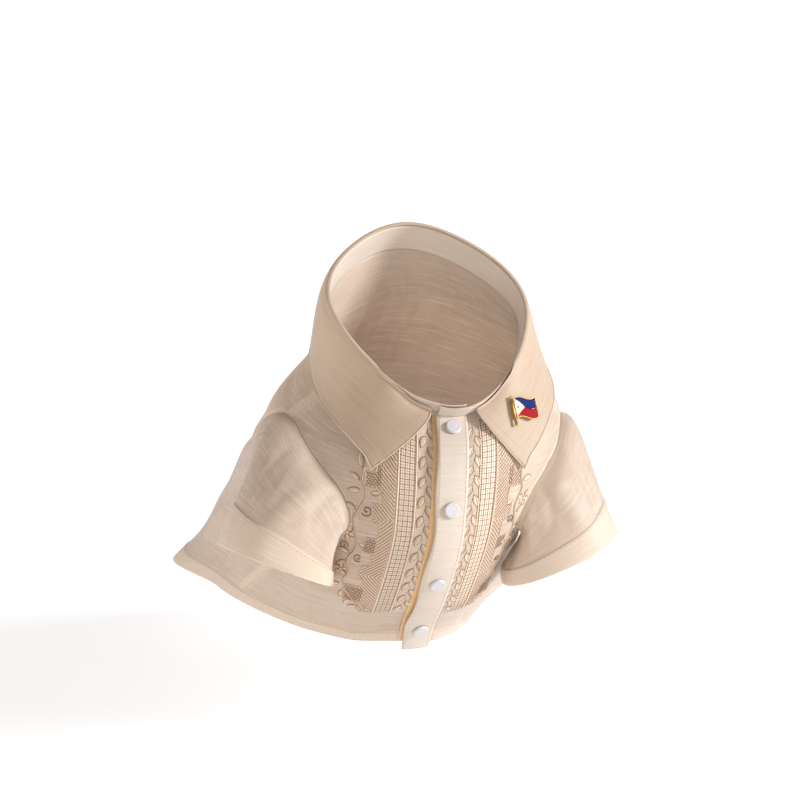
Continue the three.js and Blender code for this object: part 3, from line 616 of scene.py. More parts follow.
def sleeveSurface(sleeve):
    side, turn, rise = sleeve["side"], math.radians(sleeve["turn"]), math.radians(sleeve["rise"])
    outward = np.array([side * math.cos(turn) * math.cos(rise), math.sin(turn) * math.cos(rise), math.sin(rise)])
    forward = np.array([side * math.sin(turn), -math.cos(turn), math.tan(math.radians(sleeve["pitch"]))])
    forward = unit(forward - outward * (forward @ outward))
    upward = np.cross(outward, forward)
    upward *= 1 if upward[2] > 0 else -1
    centre = np.array(sleeve["cuff"], float)

    def rim(around):
        v, angle = armholeAt(around)
        return bodyBase(side * angle, v) + bodyOut(side * angle, v) * each(foldHeight(side * angle, v))

    middle = rim(np.array([0.0, 90.0, 180.0, 270.0])).mean(0)

    def line(around, share):
        around, share = np.broadcast_arrays(around, share)
        v, angle = armholeAt(around)
        out = bodyOut(side * angle, v)
        edge = rim(around)
        inward = unit(np.cross(unit(rim(around + 2) - rim(around - 2)), out))
        inward = np.where(each((inward * (middle - edge)).sum(-1)) < 0, -inward, inward)
        start = edge + inward * (seamGap + clothThickness)
        low = (1 - np.cos(np.radians(around))) / 2
        swing = np.radians(around + sleeveLook["underarmTurn"] * low)
        cuff = centre + outward * each(sleeve["long"] * np.cos(swing)) + forward * each(sleeve["short"] * np.sin(swing))
        reach = np.linalg.norm(cuff - start, axis=-1)
        first = start + out * sleeveLook["puff"]
        second = cuff + upward * each(0.45 * reach)
        t = each(share)
        return start * (1 - t)**3 + first * 3 * t * (1 - t)**2 + second * 3 * t * t * (1 - t) + cuff * t**3

    def normal(around, share):
        return unit(np.cross(line(around + 1, share) - line(around - 1, share), line(around, np.minimum(share + 0.02, 1)) - line(around, np.maximum(share - 0.02, 0)))) * side

    def surface(around, share, lift):
        around, share = np.broadcast_arrays(np.asarray(around, float), np.asarray(share, float))
        fold = 0
        for at, down, reach, reachDown, tall in sleeveFolds:
            off = (around - at + 540) % 360 - 180
            fold = fold + tall * np.exp(-((off / reach) ** 2) - ((share - down) / reachDown) ** 2)
        crease = 0
        for a0, s0, a1, s1, half, tall in sleeveCreases:
            off, run = ((around - a0 + 540) % 360 - 180) * 0.62, np.array([(a1 - a0) * 0.62, (s1 - s0) * 85])
            length = np.hypot(*run)
            along = (off * run[0] + (share - s0) * 85 * run[1]) / length
            away = (off * run[1] - (share - s0) * 85 * run[0]) / length + 1.6 * np.sin(along / length * 4)
            crease = crease + tall * np.exp(-((away / half) ** 2)) * smooth(along / length * 3 + 0.4) * smooth((1.15 - along / length) * 2.4)
        return line(around, share) + normal(around, share) * each(fold * smooth(share / 0.3) + crease * smooth(share / 0.12) + lift)

    return surface, normal


def sleeveLift(share, extra=0.0):
    return mix(clothThickness, foldedThickness, smooth((share - sleeveLook["hemStart"] + 0.012) / 0.012)) + extra


for sleeve in sleeves:
    surface, normal = sleeveSurface(sleeve)
    share = np.concatenate([np.linspace(0, 0.78, 68)[:-1], np.linspace(0.78, 0.81, 8)[:-1], np.linspace(0.81, 1, 16)])[:, None]
    around = np.linspace(0, 360, sleeveLook["around"] + 1)[None]
    points = surface(around, share, sleeveLift(share))
    uv = lengthUv(points)
    piece = gridMesh("sleeve" + sleeve["name"], points, uv, normal(np.array(180.0), np.array(0.5)), closed=True)
    fromRim = np.concatenate([np.zeros((1, points.shape[1])), np.cumsum(np.linalg.norm(np.diff(points, axis=0), axis=-1), axis=0)])
    markDoubledAndPaintedLight(piece, np.maximum(smooth((share - sleeveLook["hemStart"] + 0.006) / 0.01) + 0 * around, 0.8 * smooth((sleeveLook["allowance"] - fromRim) / 1.0)), closed=True)
    dress(thicken(piece, sleeveLook["thickness"]), "sheerCloth", "sheer_cloth", sleeve["node"])
    turn = np.linspace(0, 360, 200)
    cuffEdge = seamRoll("cuffEdge" + sleeve["name"], surface(turn, np.full(200, 0.9985), foldedThickness - 0.45), 0.5)
    stitchShare = np.full(200, sleeveLook["hemStart"] + 0.012)
    cuffStitches = threadMesh("cuffStitches" + sleeve["name"], stitchPaths(surface(turn, stitchShare, foldedThickness + 0.02), normal(turn, stitchShare)), "stitchThread")
print("sleeves made")

# button band
band = {"snapV": [0.052, 0.353, 0.639, 0.932], "wave": 0.9, "longer": 1.03, "sway": 0.7, "columns": 24, "rows": 200, "thickness": 1.3, "stitchIn": 1.7}


def bandWave(v, share):
    between = np.sin(math.pi * (v - band["snapV"][0]) / (band["snapV"][1] - band["snapV"][0]))
    return band["wave"] * between**2 * (0.4 + 0.6 * (1 - share))


downEnd = unit(bodyBase(0, 1.0) - bodyBase(0, 0.98))


def bandPoint(x, t, lift, wave=True, longer=None):
    x, t = np.broadcast_arrays(np.asarray(x, float), np.asarray(t, float))
    run = t * (band["longer"] if wave else 1)
    v = np.minimum(1, run)
    share = (x + bandHalf["top"]) / (2 * bandHalf["top"])
    ripple = bandWave(v, share) if wave else 0
    point = bodyPoint(x * degreesFor(1, 0, v), v, lift + ripple)
    return point + downEnd * each(np.maximum(0, run - 1) * 200)


def bandPiece(name, node, paint, low, high, top, wave):
    t = np.linspace(0, 1, band["rows"])[:, None]
    x = np.linspace(low, high, band["columns"])[None]
    sway = band["sway"] * np.sin(2 * math.pi * (t - 0.05) / 0.3) if wave else 0
    x = x + sway * np.clip((high - x) / (high - low), 0, 1) ** 2
    edge = smooth(np.minimum(x - low, high - x) / 1.0)
    points = bandPoint(x, t, top - 0.35 * (1 - edge), wave)
    uv = np.stack([np.broadcast_to(x, points.shape[:2]), np.broadcast_to(t * frontLength, points.shape[:2])], -1)
    piece = thicken(gridMesh(name, points, uv, bodyOut(0.0, 0.5)), band["thickness"])
    return dress(piece, paint, "crisp_cloth", node), points


placket, placketPoints = bandPiece("placketTop", "placket_top", "bandCloth", -bandHalf["top"], bandHalf["top"], foldedThickness, True)
underPlacket, _ = bandPiece("placketUnder", "placket_under", "underCloth", -bandHalf["under"], bandHalf["top"] - 3, -0.7, False)
t = np.linspace(0.004, 0.996, 220)
bandStitches = []
for x in (-bandHalf["top"] + band["stitchIn"], bandHalf["top"] - band["stitchIn"]):
    bandStitches += stitchPaths(bandPoint(x, t, foldedThickness + 0.03), bodyOut(0.0, np.minimum(t, 1)))
onPlacket = [threadMesh("placketStitches", bandStitches, "stitchThread", "crisp_cloth")]
for word, edge in (("Outer", placketPoints[:, 0]), ("Inner", placketPoints[:, -1])):
    onPlacket.append(seamRoll("placketEdge" + word, edge - bodyOut(0.0, 0.5) * 0.5, 0.34, "edgeCloth", "crisp_cloth"))
onPlacket.append(seamRoll("placketHem", placketPoints[-1] - bodyOut(0.0, 1.0) * 0.45, 0.5, "edgeCloth", "crisp_cloth"))
print("button band made")

# collar: a stand round the neck and a leaf that rolls over it
collar = {
    "standFront": 11, "standBack": 22, "standLean": 0.06, "tuck": 2.6,
    "frontAngle": 18.5, "frontDrop": 5, "lift": 2.4,
    "rollFront": (16, 13), "rollSide": (9, 6), "rollBack": (13, 6),   # out and up
    "around": 260, "down": 46, "thickness": 0.95, "stitchIn": 5.0, "ripple": 0.4,
    # the leaf's free edge: its height on the body at each angle away from the chest
    "rimAway": [33, 37, 44, 52, 60, 69, 78, 88, 102, 130, 180],
    "rimV": [0.238, 0.208, 0.188, 0.173, 0.163, 0.156, 0.150, 0.142, 0.131, 0.122, 0.120],
}
neckAxis = unit(np.array([0.0, bodySections["frontZ"][0] - bodySections["backZ"][0], bodySections["backY"][0] - bodySections["frontY"][0]]))
neckCentre = (bodyBase(0, 0) + bodyBase(180, 0)) / 2


def neckPoint(angle, out, up):
    base = bodyBase(angle, np.zeros(np.shape(angle)))
    away = base - neckCentre
    away = unit(away - neckAxis * each((away * neckAxis).sum(-1)))
    return base + neckAxis * each(up) + away * each(out + collar["standLean"] * up)


def standRise(angle):
    return mix(collar["standFront"], collar["standBack"], (1 - np.cos(np.radians(angle))) / 2)


def collarStand():
    share = np.linspace(0, 1, 280)[None]
    low, high = -bandHalf["top"] * degreesFor(1, 0, 0), 360 + (bandHalf["top"] - 2) * degreesFor(1, 0, 0)
    angle = mix(low, high, share)
    clear = foldedThickness * np.maximum(0, (bodyOut(angle, np.zeros(angle.shape)) * neckAxis).sum(-1)) + 1.5 * seamGap - 1.0
    t = np.linspace(0, 1, 14)[:, None]
    angle = np.broadcast_to(angle, (14, 280))
    round1 = 0.3 * smooth(np.minimum(t, 1 - t) / 0.08)
    points = neckPoint(angle, -collar["tuck"] * smooth((angle - 325) / 22) + clothThickness - 0.3 + round1, mix(standRise(angle), np.broadcast_to(clear, angle.shape), t))
    uv = lengthUv(points)
    piece = thicken(gridMesh("collarStand", points, uv, unit(points[7, 140] - neckCentre)), 0.9)
    return dress(piece, "bandCloth", "crisp_cloth", "collar_stand"), points


def leafEdge(around):
    angle = mix(-collar["rimAway"][0], -(360 - collar["rimAway"][0]), around)
    return angle, curveThrough(collar["rimAway"], collar["rimV"], np.minimum(-angle, 360 + angle))


def leafPoint(around, share, lift):  # share runs from the inside of the roll (below 0) over the fold (0) to the free edge (1)
    around, share = np.broadcast_arrays(np.asarray(around, float), np.asarray(share, float))
    angle = mix(-collar["frontAngle"], -(360 - collar["frontAngle"]), around)
    c = np.cos(np.radians(angle))
    off = smooth((c - 0.5) / 0.15)
    drop = collar["frontDrop"] * smooth((c - 0.66) / 0.25)
    top, clear = standRise(angle) - drop, clothThickness + seamGap
    inner = neckPoint(angle, mix(0, clear, off) + lift * 0.3 * off, top + seamGap + 0.2 + lift)
    fold = neckPoint(angle, clear + lift + 0.3 * off, top + seamGap + 0.2 + lift * 0.4 - 1.2 * off)
    crown = neckPoint(angle, mix(0.6, 1.0, off) * (clear + lift), top + seamGap + 0.5 + lift * 1.25 - 0.5 * off)
    edgeAngle, edgeV = leafEdge(around)
    fall = bodyBase(edgeAngle, edgeV) + bodyOut(edgeAngle, edgeV) * each(foldHeight(edgeAngle, edgeV) + collar["lift"] + clothThickness + lift)
    weight = np.where(c > 0, 1, 0)
    roll = [mix(collar["rollSide"][k], np.where(weight, collar["rollFront"][k], collar["rollBack"][k]), c * c) for k in (0, 1)]
    bend = neckPoint(angle, roll[0] + lift, roll[1] - drop)
    t = each(np.clip(share, 0, 1))
    point = fold * (1 - t)**2 + bend * 2 * t * (1 - t) + fall * t * t
    s = each(np.clip(share / -0.06, 0, 1))
    over = fold * (1 - s)**2 + crown * 2 * s * (1 - s) + inner * s * s
    return np.where(each(share) < 0, over, point)


def leafNormal(around, share):
    a = leafPoint(np.clip(around + 0.004, 0, 1), share, clothThickness) - leafPoint(np.clip(around - 0.004, 0, 1), share, clothThickness)
    d = leafPoint(around, np.clip(share + 0.02, 0, 1), clothThickness) - leafPoint(around, np.clip(share - 0.02, 0, 1), clothThickness)
    return unit(np.cross(a, d))


def leafCloth(around, share, extra=0.0):
    around, share = np.broadcast_arrays(np.asarray(around, float), np.asarray(share, float))
    wave = collar["ripple"] * (np.sin(around * 31) + 0.7 * np.sin(around * 53 + 1.4)) * smooth(share) * smooth(np.minimum(around, 1 - around) / 0.1)
    soft = -0.7 * np.exp(-(((around - 0.07) / 0.05) ** 2) - ((share - 0.45) / 0.3) ** 2) - 0.5 * np.exp(-(((around - 0.9) / 0.05) ** 2) - ((share - 0.5) / 0.3) ** 2)
    sign = leafSign
    return leafPoint(around, share, clothThickness) + leafNormal(around, share) * sign * each(wave + soft + extra)


leafSign = 1.0
leafSign = 1.0 if float(leafNormal(np.array(0.5), np.array(0.5)) @ bodyOut(180.0, 0.1)) > 0 else -1.0


def collarLeaf():
    around = np.linspace(0, 1, collar["around"])[None]
    share = np.concatenate([np.linspace(-0.06, 0, 8)[:-1], np.linspace(0, 1, collar["down"])])[:, None]
    points = leafCloth(around, share)
    uv = lengthUv(points)
    uv[..., 0] -= uv[:, -1:, 0] / 2
    piece = thicken(gridMesh("collarLeaf", points, uv, bodyOut(180.0, 0.1)), collar["thickness"])
    return dress(piece, "crispCloth", "crisp_cloth", "collar_leaf"), points


stand, standPoints = collarStand()
leaf, leafPoints = collarLeaf()
leafRim = np.concatenate([leafCloth(0.0, np.linspace(0, 1, 60)), leafCloth(np.linspace(0, 1, 360), 1.0)[1:], leafCloth(1.0, np.linspace(1, 0, 60))[1:]])
leafEdgeRoll = seamRoll("leafEdge", leafRim, 0.5, "edgeCloth", "crisp_cloth")
standEdgeRoll = seamRoll("standEdge", standPoints[0], 0.5, "edgeCloth", "crisp_cloth")


def leafStitches():
    leafDown = np.linalg.norm(leafPoints[-1] - leafPoints[8], axis=-1)       # how deep the leaf is at each place
    aroundAll = np.linspace(0, 1, collar["around"])
    inset = collar["stitchIn"]
    around = np.linspace(0.014, 0.986, 420)
    share = 1 - inset / np.interp(around, aroundAll, leafDown)
    paths = stitchPaths(leafCloth(around, share, 0.03), leafSign * leafNormal(around, share))
    for start, end in ((0.014, 0.014), (0.986, 0.986)):
        share = np.linspace(0.06, 1 - inset / np.interp(start, aroundAll, leafDown), 60)
        around = np.full(60, start)
        paths += stitchPaths(leafCloth(around, share, 0.03), leafSign * leafNormal(around, share))
    return threadMesh("leafStitches", paths, "stitchThread", "crisp_cloth")


standStitch = standPoints[11][24:-24]
standStitches = threadMesh("standStitches", stitchPaths(standStitch + unit(standStitch - neckCentre) * 0.05, unit(standStitch - neckCentre)), "stitchThread", "crisp_cloth")
leafStitches()
print("collar made")

# snaps
snap = {"seats": [0.5, 0.3, 0.3, 0.7], "sides": 56, "top": 1.75}
snapProfile = [(0.0, 1.75), (1.6, 1.74), (3.0, 1.70), (3.9, 1.64), (4.3, 1.72), (4.6, 1.66), (4.95, 1.35), (5.2, 0.95), (5.32, 0.5), (5.35, 0.2), (5.2, 0.0), (4.7, 0.0)]
for i, v in enumerate(band["snapV"]):
    out = bodyOut(0.0, v)
    seat = bodyPoint(0.0, v, foldedThickness + snap["seats"][i] + bandWave(v, 0.5))
    sideways = unit(np.cross(out, [0, 0, 1.0]))
    upward = np.cross(sideways, out)
    turn = np.linspace(0, 2 * math.pi, snap["sides"] + 1)[None]
    profile = np.array(snapProfile)
    r, h = profile[:, :1], profile[:, 1:]
    points = seat + sideways * each(r * np.cos(turn)) + upward * each(r * np.sin(turn)) + out * each(h + 0 * turn)
    uv = np.stack([r * np.cos(turn), r * np.sin(turn)], -1)
    points[0] = seat + out * snap["top"]
    cap = gridMesh(f"snap{i + 1}", points, uv, out, closed=True)
    dress(cap, "snapPlastic", "snap_plastic", f"snap_{i + 1}")
print("snaps made")

# flag pin: gold pole, waving gold plate with enamel fields
pin = {"around": 0.945, "down": 0.48, "tilt": -5, "width": 18, "height": 14, "plate": 1.2, "pole": 20.5, "poleRadius": 1.1, "wave": 1.1, "standOff": 0.9, "rim": 0.55, "hoist": 7.6}


def pinFrame():
    rows = [0.32, 0.54]
    share = (pin["down"] - rows[0]) / (rows[1] - rows[0])

    def at(around, down):
        k = (down - rows[0]) / (rows[1] - rows[0])
        a, b = (leafPoint(around, np.array(r), clothThickness) for r in rows)
        return mix(a, b, k)

    seat = at(pin["around"], pin["down"])
    across = unit(at(pin["around"] + 0.03, pin["down"]) - at(pin["around"] - 0.03, pin["down"]))
    down = unit(at(pin["around"], pin["down"] + 0.1) - at(pin["around"], pin["down"] - 0.1))
    out = unit(np.cross(down, across))
    out = -out if out[1] > 0 else out
    up = unit(np.array([0, 0, 1.0]) - out * out[2])
    fly = unit(np.cross(up, out))
    tilt = math.radians(pin["tilt"])
    return seat + out * pin["standOff"], fly * math.cos(tilt) + up * math.sin(tilt), up * math.cos(tilt) - fly * math.sin(tilt), out


pinSeat, pinFly, pinUp, pinOut = pinFrame()
flagStart = pin["poleRadius"] + 0.3
flagMiddle = pin["pole"] / 2 - 1.6 - pin["height"] / 2


def onPin(x, y, z):
    return pinSeat + pinFly * each(x) + pinUp * each(y) + pinOut * each(z)


def onFlag(x, y, z):  # x from the hoist, y from the middle line, both following the wave
    return onPin(flagStart + x, flagMiddle + y + pin["wave"] * np.sin(2 * math.pi * x / pin["width"]), pin["plate"] + z)


def enamel(name, paint, y0, y1, left, right):
    y = np.linspace(y0, y1, 14)[:, None]
    share = np.linspace(0, 1, 26)[None]
    x = mix(left(y), right(y), share)
    y = np.broadcast_to(y, x.shape)
    rise = 0.22 * smooth(np.minimum(share, 1 - share) * 8) * smooth(np.minimum(y - y0, y1 - y) * 2.5)
    piece = gridMesh(name, onFlag(x, y, 0.12 + rise), np.stack([x, y], -1), pinOut)
    return dress(piece, paint, "pin_enamel")


half = pin["height"] / 2 - pin["rim"]


def hoistEdge(y):
    return pin["hoist"] * (1 - np.abs(y) / half)


enamel("flagBlue", "blueEnamel", 0.06, half, lambda y: hoistEdge(y) + 0.9, lambda y: pin["width"] - pin["rim"] + 0 * y)
enamel("flagRed", "redEnamel", -half, -0.06, lambda y: hoistEdge(y) + 0.9, lambda y: pin["width"] - pin["rim"] + 0 * y)
enamel("flagWhite", "whiteEnamel", -half + 0.3, half - 0.3, lambda y: pin["rim"] + 0 * y, lambda y: np.maximum(hoistEdge(y) + 0.45, pin["rim"] + 0.05))

goldLines = []
turnX = np.linspace(0, pin["width"], 50)
for y in (-pin["height"] / 2 + 0.25, pin["height"] / 2 - 0.25):
    goldLines.append((onFlag(turnX, np.full(50, y), 0.0), np.broadcast_to(pinOut, (50, 3)), 0.7, 0.55, False))
for x in (0.25, pin["width"] - 0.25):
    y = np.linspace(-pin["height"] / 2, pin["height"] / 2, 30)
    goldLines.append((onFlag(np.full(30, x), y, 0.0), np.broadcast_to(pinOut, (30, 3)), 0.7, 0.55, False))
for sign in (-1, 1):
    y = np.linspace(0, sign * (half - 0.1), 24)
    goldLines.append((onFlag(hoistEdge(y) + 0.68, y, 0.1), np.broadcast_to(pinOut, (24, 3)), 0.32, 0.3, False))
sunLines = []
for k in range(8):  # the sun's rays
    a = k * math.pi / 4
    reach = np.linspace(0.5, 1.35, 4)
    sunLines.append((onFlag(2.75 + reach * math.cos(a), reach * math.sin(a), 0.34), np.broadcast_to(pinOut, (4, 3)), 0.34, 0.14, True))
for x, y in ((1.35, 4.6), (1.35, -4.6), (6.0, 0.0)):  # three five-pointed stars
    for k in range(5):
        a = math.pi / 2 + k * 2 * math.pi / 5
        reach = np.linspace(0, 0.62, 4)
        sunLines.append((onFlag(x + reach * math.cos(a), y + reach * math.sin(a), 0.34), np.broadcast_to(pinOut, (4, 3)), 0.36, 0.12, True))
threadMesh("flagRim", goldLines, "pinGold", "pin_metal")
threadMesh("flagRays", sunLines, "darkGold", "pin_metal")


def lathe(name, profile, base, axis, sides, paint, slot, *nodes):
    axis = unit(axis)
    first = unit(np.cross(axis, pinOut + 0.01))
    second = np.cross(axis, first)
    turn = np.linspace(0, 2 * math.pi, sides + 1)[None]
    profile = np.array(profile, float)
    r, h = profile[:, :1], profile[:, 1:]
    points = base + first * each(r * np.cos(turn)) + second * each(r * np.sin(turn)) + axis * each(h + 0 * turn)
    middle = len(profile) // 2
    piece = gridMesh(name, points, np.stack([r * turn, h + 0 * turn], -1), points[middle, sides // 2] - (base + axis * profile[middle, 1]), closed=True)
    return dress(piece, paint, slot, *nodes)


end, radius = pin["pole"] / 2, pin["poleRadius"]
poleProfile = [(0.02, end), (0.55, end - 0.12), (0.95, end - 0.5), (radius, end - 1.0), (0.95, end - 1.5), (0.72, end - 1.9), (0.72, end - 2.2), (0.95, end - 2.45),
               (0.95, 0.0), (0.95, -end + 0.9), (radius, -end + 0.7), (radius, -end + 0.25), (0.7, -end), (0.02, -end)]
lathe("pinPole", poleProfile, onPin(0.0, 0.0, radius), pinUp, 32, "pinGold", "pin_metal", "pin_pole")
lathe("flagSun", [(0.02, 0.42), (0.4, 0.4), (0.68, 0.3), (0.72, 0.05)], onFlag(2.75, 0.0, 0.14), pinOut, 20, "darkGold", "pin_metal")
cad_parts["pin_flag"].data.materials.clear()
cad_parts["pin_flag"].data.materials.append(paints["pinGold"])
print("pin made")

# embroidery on both fronts: leaf vine, drawn-thread band, hatched field and outer vine
stitching = {
    "top": 7.0, "bottom": 161.0,                        # mm below the neck seam
    "cell": 3.5, "cellLine": 0.42, "cellBead": 0.7,
    "vinePitch": 13.2, "leafLength": 9.2, "leafWidth": 4.2, "leafHeight": 0.42,
    "hatchPitch": 2.7, "hatchStitch": 1.2, "hatchGap": 0.6, "hatchLine": 0.48, "hatchSlant": 1.0,
    "notchRound": 1.7,
}
# where the parts of each side begin and end, in mm out from the middle of the button band
sides = [
    {"word": "Right", "side": -1, "vine": 17.6, "band": (24.2, 36.2), "field": 37.2},
    {"word": "Left", "side": 1, "vine": 14.6, "band": (19.4, 32.4), "field": 33.4},
]
# the field's stepped outer edge: how far down, and how far out from its inner edge
fieldSteps = [
    (7, 12), (40, 13), (46, 14), (46.2, 21), (56, 21.5), (56.2, 11), (66, 10.5), (66.2, 16), (79, 15), (79.2, 9.5), (90, 9.5), (90.2, 18.5), (101, 18.5),
    (101.2, 11), (112, 11.5), (112.2, 16), (124, 17), (124.2, 12), (132, 13), (132.2, 25), (148, 23), (148.2, 13), (158, 11), (161, 9),
]

halfTurn = np.arange(0.0, 121.0)
panelRows = np.linspace(0, 1, 161)
arcTables = {}
for side in (-1, 1):
    line = bodyPoint(side * halfTurn[None], panelRows[:, None] + 0 * halfTurn[None], clothThickness)
    arcTables[side] = np.concatenate([np.zeros((161, 1)), np.cumsum(np.linalg.norm(np.diff(line, axis=1), axis=-1), axis=1)], 1)


def tableAt(table, row, turn):
    row, turn = np.clip(row, 0, 159.999), np.clip(turn, 0, 119.999)
    i, j = row.astype(int), turn.astype(int)
    p, q = row - i, turn - j
    return (table[i, j] * (1 - q) + table[i, j + 1] * q) * (1 - p) + (table[i + 1, j] * (1 - q) + table[i + 1, j + 1] * q) * p


def onFront(side, x, y, lift):  # x mm out from the middle of the band, y mm down the chest, on the cloth of a front
    x, y = np.broadcast_arrays(np.asarray(x, float), np.asarray(y, float))
    v = vAt(y)
    turn = x / 1.5
    for _ in range(5):
        turn = turn + (x - tableAt(arcTables[side], v * 160, turn)) / 1.5
    angle = side * turn
    dip = bandDip(angle) if side < 0 else 0
    return bodyPoint(angle, v, clothLift(v) + lift - dip), bodyOut(angle, v)


def threadOn(side, xy, width, height, lift=0.06, taper=False):
    xy = np.asarray(xy, float)
    points, up = onFront(side, xy[:, 0], xy[:, 1], lift)
    return points, up, width, height, taper


def along2(xy, step=1.0):  # the same line with a point every step mm
    xy = np.asarray(xy, float)
    run = np.concatenate([[0], np.cumsum(np.hypot(*np.diff(xy, axis=0).T))])
    at = np.linspace(0, run[-1], max(3, int(run[-1] / step) + 1))
    return np.stack([np.interp(at, run, xy[:, 0]), np.interp(at, run, xy[:, 1])], -1)


def softLine(control, steps=12):  # a smooth line through a few places
    c = np.asarray(control, float)
    c = np.concatenate([2 * c[:1] - c[1:2], c, 2 * c[-1:] - c[-2:-1]])
    t = np.linspace(0, 1, steps, endpoint=False)[:, None]
    parts = [0.5 * (2 * b + (c2 - a) * t + (2 * a - 5 * b + 4 * c2 - d) * t**2 + (3 * b - a - 3 * c2 + d) * t**3) for a, b, c2, d in zip(c, c[1:], c[2:], c[3:])]
    return np.concatenate(parts + [c[-2:-1]])


def joinedPatches(name, patches, paint, slot="sheer_cloth"):
    points, faces, uvs, count = [], [], [], 0
    for grid, uv, out in patches:
        rows, columns = uv.shape[:2]
        i, j = np.meshgrid(np.arange(rows - 1), np.arange(columns - 1), indexing="ij")
        corners = [(i, j), (i + 1, j), (i + 1, j + 1), (i, j + 1)]
        if np.cross(grid[-1, columns // 2] - grid[0, columns // 2], grid[rows // 2, -1] - grid[rows // 2, 0]) @ out < 0:
            corners.reverse()
        faces.append(np.stack([count + a * columns + b for a, b in corners], -1).reshape(-1, 4))
        uvs.append(np.stack([uv[a, b] for a, b in corners], -2).reshape(-1, 2))
        points.append(grid.reshape(-1, 3))
        count += rows * columns
    mesh = bpy.data.meshes.new(name)
    mesh.from_pydata((np.concatenate(points) * mm).tolist(), [], np.concatenate(faces).tolist())
    layer = mesh.uv_layers.new(name="cloth")
    layer.data.foreach_set("uv", np.concatenate(uvs).reshape(-1) * 0.01)
    mesh.polygons.foreach_set("use_smooth", [True] * len(mesh.polygons))
    piece = bpy.data.objects.new(name, mesh)
    bpy.context.scene.collection.objects.link(piece)
    return dress(piece, paint, slot)


def satinLeaf(side, x, y, heading, length, width, bend=0.0):
    # a leaf worked in satin stitch: a half in painted shade and a half in painted light, and the cords round them, the
    # wider dark cord on the shaded half. heading in degrees, 0 is outward and 90 down
    t = np.linspace(0, 1, 15)
    turn = math.radians(heading) + np.radians(bend) * (t - 0.5)
    spine = np.array([x, y]) + np.concatenate([[[0, 0]], np.cumsum(np.stack([np.cos(turn), np.sin(turn)], -1)[1:] * length / 14, axis=0)])
    across = np.stack([-np.sin(turn), np.cos(turn)], -1)
    half = width / 2 * np.sin(math.pi * t ** 0.85) ** 1.1
    patches, edges = [], []
    # the first half is painted shade in tan thread with a wider dark cord, the second painted light in pale thread
    for way, cord in ((-1, 0.55), (1, 0.3)):
        s = way * np.linspace(0, 1, 5)
        xy = spine[:, None] + across[:, None] * (half[:, None] * s[None])[..., None]
        dome = stitching["leafHeight"] * (1 - s[None] ** 2) ** 0.5 * (1 - 0.6 * np.exp(-(s[None] / 0.16) ** 2)) * np.sin(math.pi * t[:, None]) ** 0.4
        points, up = onFront(side, xy[..., 0], xy[..., 1], 0.05 + dome)
        # the satin threads slant away from the middle of the leaf
        uv = np.stack([np.broadcast_to(np.abs(s)[None] * width / 2 * 6, dome.shape), t[:, None] * length - np.abs(s)[None] * 1.5], -1)[..., ::-1]
        patches.append((points, uv, up[7, 2]))
        edges.append(threadOn(side, xy[:, -1], cord, 0.7 * cord))
    return patches, edges


def roundedCorners(line, radius, steps=7):
    line = np.asarray(line, float)
    parts = [line[:1]]
    t = np.linspace(0, 1, steps)[:, None]
    for a, corner, b in zip(line, line[1:], line[2:]):
        before = corner + (a - corner) * min(0.5, radius / np.linalg.norm(a - corner))
        after = corner + (b - corner) * min(0.5, radius / np.linalg.norm(b - corner))
        parts.append((1 - t) ** 2 * before + 2 * t * (1 - t) * corner + t**2 * after)
    return np.concatenate(parts + [line[-1:]])


fieldRim = roundedCorners([(out, down) for down, out in fieldSteps], stitching["notchRound"])


def fieldEdge(y):
    return np.interp(y, fieldRim[:, 1], fieldRim[:, 0])


def dashes(lines, stitch, gap, start=0.0):  # running stitches along straight lines from one place to another
    firsts, lasts = [], []
    for a, b in lines:
        a, b = np.asarray(a, float), np.asarray(b, float)
        length = np.hypot(*(b - a))
        at = np.arange(start, length - 0.4 * stitch, stitch + gap)
        if len(at):
            firsts.append(a + (b - a) * at[:, None] / length)
            lasts.append(a + (b - a) * np.minimum(at + stitch, length)[:, None] / length)
    return np.concatenate(firsts), np.concatenate(lasts)


def stitchesOn(side, ends, width, height, lift, taper=True):
    t = np.linspace(0, 1, 4)[None, :, None]
    xy = ends[0][:, None] * (1 - t) + ends[1][:, None] * t
    points, up = onFront(side, xy[..., 0], xy[..., 1], lift)
    return [(line, rise, width, height, taper) for line, rise in zip(points, up)]


def slantLines(inner, first, last, way, offset):  # the parts of slanting lines that lie on the field
    x, lines = np.arange(0.5, 27, 0.35), []
    for c in np.arange(first - 40 + offset, last + 40, stitching["hatchPitch"]):
        y = c + way * stitching["hatchSlant"] * x
        inside = (y > first) & (y < last) & (x < fieldEdge(y) - 0.5)
        cuts = np.flatnonzero(np.diff(np.concatenate([[0], inside.astype(int), [0]])))
        lines += [((inner + x[i], y[i]), (inner + x[j - 1], y[j - 1])) for i, j in zip(cuts[::2], cuts[1::2]) if j - i > 4]
    return lines


